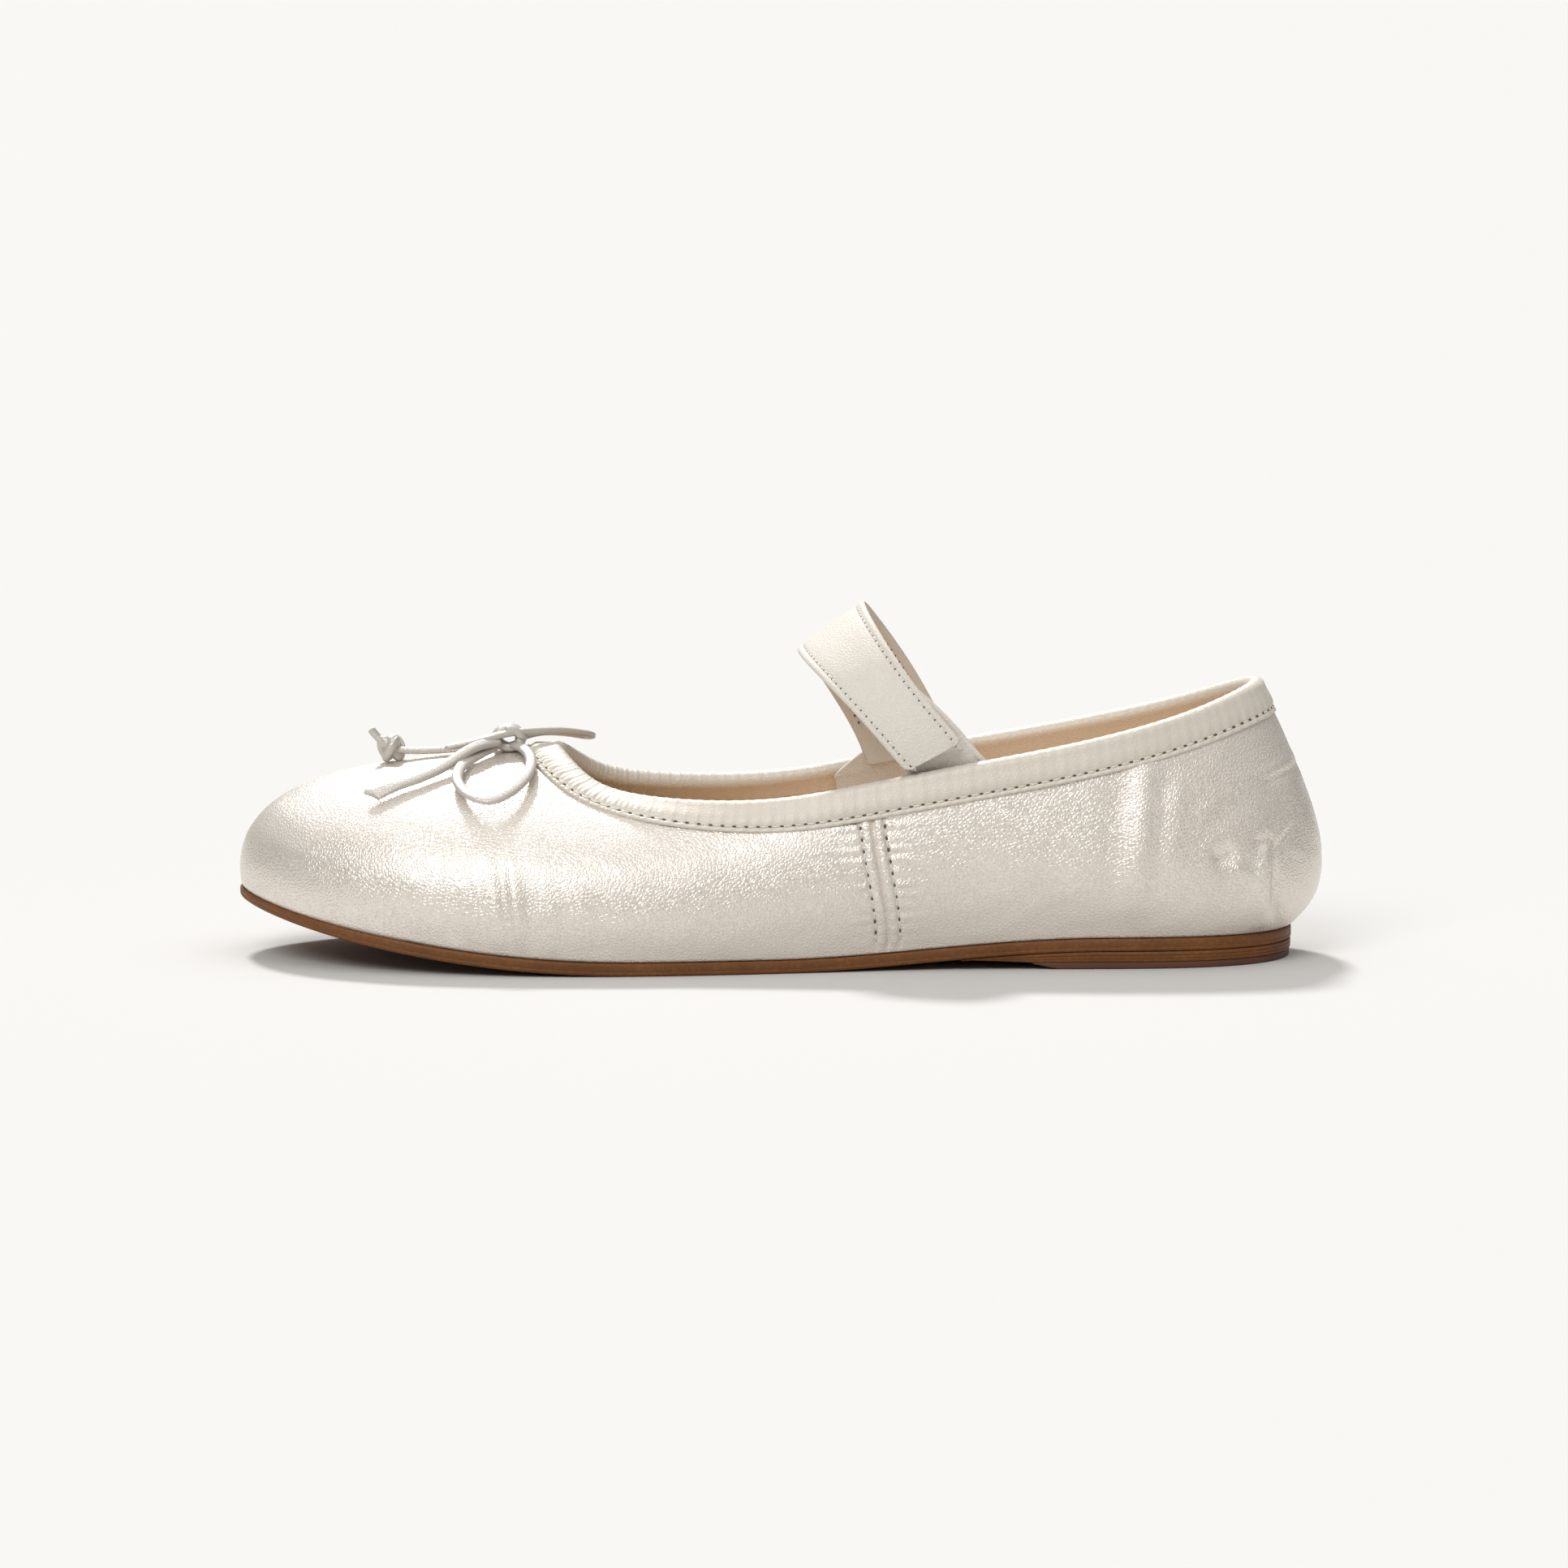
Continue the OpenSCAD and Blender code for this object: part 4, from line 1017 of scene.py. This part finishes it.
s = np.linspace(0, STATIONS, 481)
sock_rows = [(share, -WALL_T - 1, above_feather(SOCK_UP + CEMENT)) for share in SHARES]
sock_rows += [(1, off, above_feather(SOCK_UP + up)) for off, up in
              ((-WALL_T - 1, 0.05), (-WALL_T - 0.7, 0.3), (-WALL_T - 0.7, 0.75),
               (-WALL_T - 0.9, 1.05), (-WALL_T - 1.4, 1.12))]
sock_rows += [(share, -WALL_T - 1.4, above_feather(SOCK_UP + up)) for share, up in
              ((0.97, 1.06), (0.95, 0.96), (0.93, 1.0), (0.85, 1.02), (0.6, 1.0), (0.3, 0.98),
               (0, 0.96))]
finished(plate("sock_leather_lining", s, sock_rows), sock_leather, "sock_leather", "shoe",
         "sock_lining")

# %% [markdown]
# Five parts stay as the CAD made them, because they are sealed between the layers: the steel
# shank, the cork filler, the insole board and the two stiffeners. The drawstring and the two
# patches of tape stay too. Each gets the finish of its real material.

# %% Hidden parts
def refinish(material, slot, *parts):
    """Gives CAD pieces, whose shape stays as it is, their finish; slot is not used."""
    for part in parts:
        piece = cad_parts[part]
        piece.data.materials.clear()
        piece.data.materials.append(material)
    print(material.name, "on", parts)


# Cold-rolled spring steel, lightly oiled; ground cork in latex; pressed cellulose board;
# fibreboard stiffened with resin; and a round cotton cord.
refinish(patterned("rolled_spring_steel", "#A9ABAD", "#C4C6C8", 1.2, 0.01, Metallic=1.0,
                   Roughness=0.32), "shank_steel", "shank")
refinish(patterned("ground_cork", "#8A5F3C", "#B98A5E", 1.4, 0.2, "TexVoronoi", Roughness=0.9),
         "cork_filler", "bottom_filler")
refinish(patterned("pressed_cellulose_board", "#8F7B62", "#A9957A", 0.8, 0.05, Roughness=0.9),
         "insole_board", "insole_board")
refinish(patterned("resin_stiffened_fibre", "#B7AE9F", "#CFC8BB", 0.6, 0.04, Roughness=0.8),
         "stiffener_fibre", "toe_puff", "heel_counter")
refinish(patterned("twisted_cotton_cord", "#CFC8BB", "#E9E4DA", 0.5, 0.1, Roughness=0.85),
         "lace_leather", "drawstring")

# %% [markdown]
# ## Strap and tab
# The strap is two layers of leather sewn back to back. It is stitched inside the medial wall,
# arches over the instep, and comes down outside a short tab on the lateral side, where hooks on
# one meet loops on the other. Its middle line is a pair of Bezier curves, its width is laid
# along a slope at each place, and the outer layer lies just over that line.

# %% Paths of the strap and the tab
LEAN = math.radians(41)
ARCH_X, ARCH_Z = 38, 46     # foot of the leaning plane that the strap arches in, mm
CREST = 38.8                # the crest, measured up that plane, mm
STRAP_BASE_W = 20.5
MEDIAL_PIVOT = np.array([29.5, 24.9, 46.6])
LATERAL_PIVOT = np.array([38, -26, 46.8])
CORNER_R = 1.5


def on_arch(y, q):
    return [ARCH_X - q * math.sin(LEAN), y, ARCH_Z + q * math.cos(LEAN)]


LEGS = np.array([[MEDIAL_PIVOT, [25.5, 26.5, 57], on_arch(20, CREST), on_arch(0, CREST)],
                 [on_arch(0, CREST), on_arch(-21, CREST), on_arch(-32, 21), on_arch(-30.8, 5.5)]],
                float)


def strap_places(t):
    """Centre, slope of the width and width at t: 0 at the medial base, 2 at the loose end."""
    leg = np.clip(np.floor(t), 0, 1).astype(int)
    u = t - leg
    centre = bezier(LEGS[leg], u[:, None])[:, 0]
    under = t < 0           # the part below the fold, which runs straight down
    down = unit(LEGS[0, 1] - LEGS[0, 0])
    centre[under] = MEDIAL_PIVOT + t[under, None] * down * 30
    slope = np.where(leg == 0, 10 + 26 * ease(u * 1.3), 36 - 7 * ease(u))
    width = np.where(leg == 0, STRAP_BASE_W - 1.5 * ease(u * 1.3), 19 - 4.5 * ease(u * 1.2))
    return centre, slope, width


def band(centre, slope, reach, ups):
    """Points across a band: reach (n, m) from its middle line, ups (n, m) above it."""
    way = np.radians(slope)
    across = np.stack([np.cos(way), 0 * way, np.sin(way)], -1)
    face = unit(np.cross(unit(np.gradient(centre, axis=0)), across))
    return (centre[:, None] + reach[..., None] * across[:, None] + ups[..., None] * face[:, None],
            face)


def rounded_end(places):
    """The places with a last stretch that narrows round the corners of a loose end."""
    centre, slope, width = places
    along = unit(centre[-1] - centre[-2])
    a = np.linspace(0, math.radians(84), 13)[1:]
    extra = centre[-1] + (CORNER_R * np.sin(a))[:, None] * along
    narrow = width[-1] - 2 * CORNER_R * (1 - np.cos(a))
    return (np.concatenate([centre, extra]), np.concatenate([slope, np.full(len(a), slope[-1])]),
            np.concatenate([width, narrow]))


# Share of the way across the band, and how far the face sinks there: a rounded edge, and a
# groove along each row of stitches
EDGE_SHARES = np.array([-1, -0.985, -0.96, -0.92, -0.87, -0.83, -0.79, -0.75, -0.7, -0.5, -0.25])
EDGE_SHARES = np.concatenate([EDGE_SHARES, [0], -EDGE_SHARES[::-1]])
EDGE_DROPS = np.array([0.45, 0.2, 0.04, -0.08, -0.06, 0.12, 0.26, 0.14, 0.02, -0.1, -0.14])
EDGE_DROPS = np.concatenate([EDGE_DROPS, [-0.15], EDGE_DROPS[::-1]])
SEWN_SHARE = 0.79
BAND_PITCH = 1.9


def layer(name, places, narrower, up, thickness, turned, depth, *finish):
    """One layer of a band. Its face lies up mm over the middle line, and turned means that it
    looks the other way. depth scales the edge and the grooves."""
    centre, slope, width = places
    reach = (width - narrower)[:, None] / 2 * EDGE_SHARES
    rise = up + (1 if turned else -1) * depth * EDGE_DROPS
    points, _ = band(centre, slope, reach, np.broadcast_to(rise, reach.shape))
    piece = bent_sheet(name, points[::-1] if turned else points)
    thicken(piece, thickness)
    return finished(piece, *finish, crease=50)


def sew_band(name, places, up, sign, body, slot, first, last):
    """Two rows of stitches along a band, on its face, between two shares of its length."""
    centre, slope, width = places
    for tag, side in (("front", -1), ("rear", 1)):
        reach = (side * SEWN_SHARE * width / 2)[:, None]
        points, face = band(centre, slope, reach, np.full(reach.shape, up))
        a, b = int(first * len(points)), int(last * len(points))
        sew(f"{name}_{tag}", points[a:b, 0], sign * face[a:b], BAND_PITCH, body, slot)


print("strap's crest at", [round(float(v), 1) for v in LEGS[1, 0]], "mm")

# %% Strap
strap_line = rounded_end(strap_places(np.linspace(-0.14, 2, 330)))
outer = layer("strap_outer_leather", strap_line, 0, 1.0, 0.95, False, 1.0, strap_leather,
              "strap_leather", None, "strap_outer")
inner = layer("strap_lining_leather", strap_line, 0.6, -0.6, 0.5, True, 0.5, backing_leather,
              "lining_leather", None, "strap_lining")
for piece in (outer, inner):
    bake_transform(piece)
sew_band("strap_stitches", strap_line, 0.8, 1, "strap", "strap_leather", 0.12, 0.985)
sew_band("strap_inner_stitches", strap_line, -0.52, -1, "strap", "strap_leather", 0.12, 0.985)

# %% Tab
TAB_W, TAB_H, TAB_TAPER = 18, 19, 6
TAB_SWEEP, TAB_RISE = 0.008, 0.9
TAB_BOW = (-0.23, 0.0175)


def tab_places(h):
    sway = np.stack([-h * math.sin(LEAN) - TAB_SWEEP * h ** 2,
                     TAB_BOW[0] * h + TAB_BOW[1] * h ** 2, TAB_RISE * h], 1)
    slope = 10 + 19 * ease(1.35 * h / TAB_H)
    return LATERAL_PIVOT + sway, slope, TAB_W - TAB_TAPER * h / TAB_H


tab_line = rounded_end(tab_places(np.linspace(-3.5, TAB_H - CORNER_R, 60)))
outer = layer("tab_outer_leather", tab_line, 0, -0.9, 0.85, True, 1.0, strap_leather,
              "strap_leather", None, "tab_outer")
inner = layer("tab_lining_leather", tab_line, 0.6, 0.6, 0.5, False, 0.5, backing_leather,
              "lining_leather", None, "tab_lining")
for piece in (outer, inner):
    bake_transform(piece)
sew_band("tab_stitches", tab_line, -0.7, -1, "tab", "strap_leather", 0.3, 0.97)

# %% [markdown]
# Each band goes on inside the shoe as a tongue, a flat piece stitched to the wall under the
# binding, which carries the pull down into the upper.

# %% Anchors
def anchor(name, stations, pivot, slope, reach, node):
    """A tongue from the wall up to just under the fold line of a band."""
    t = np.stack([WALL_ROWS[5] * depth_to_height(stations, [BINDING_H])[:, 0],
                  WALL_ROWS[7] * depth_to_height(stations, [BINDING_H])[:, 0],
                  np.ones(len(stations))], 1)
    p, out, up = wall(stations, t)
    under, proud = -WALL_T - 1.15, -WALL_T - 0.8 - 1.6
    way = np.radians(slope)
    across = np.array([math.cos(way), 0, math.sin(way)])
    top = pivot + np.linspace(-1, 1, len(stations))[:, None] * reach * across - [0, 0, 1.2]
    rows = np.stack([p[:, 0] + under * out[:, 0], p[:, 1] + under * out[:, 1],
                     p[:, 2] + proud * out[:, 2] - 4.6 * up[:, 2], p[:, 2] + proud * out[:, 2],
                     p[:, 2] + proud * out[:, 2] + 2 * up[:, 2], top], 1)
    rows[:, 5, 1] -= math.copysign(0.5, pivot[1])
    smooth = np.stack([route(line, 6) for line in rows])
    piece = bent_sheet(name, smooth[::-1])
    thicken(piece, 0.9)
    return finished(piece, strap_leather, "strap_leather", "shoe", node)


anchor("strap_tongue", np.linspace(16.2, 17.375, 40), MEDIAL_PIVOT, 190, 10.25, "strap_anchor")
anchor("tab_tongue", np.linspace(7.36, 8.16, 36), LATERAL_PIVOT, 10, 9, "tab_anchor")

# %% Hook and loop
# Woven nylon tape: one patch carries small stiff hooks, the other a mat of soft loops.
refinish(patterned("nylon_hook_tape", "#D5D0C6", "#F0ECE4", 0.7, 0.3, "TexVoronoi",
                   Roughness=0.5), "hook_and_loop", "hook_tape")
refinish(patterned("nylon_loop_tape", "#D9D4CA", "#F3EFE8", 0.35, 0.25, Roughness=0.95),
         "hook_and_loop", "loop_tape")
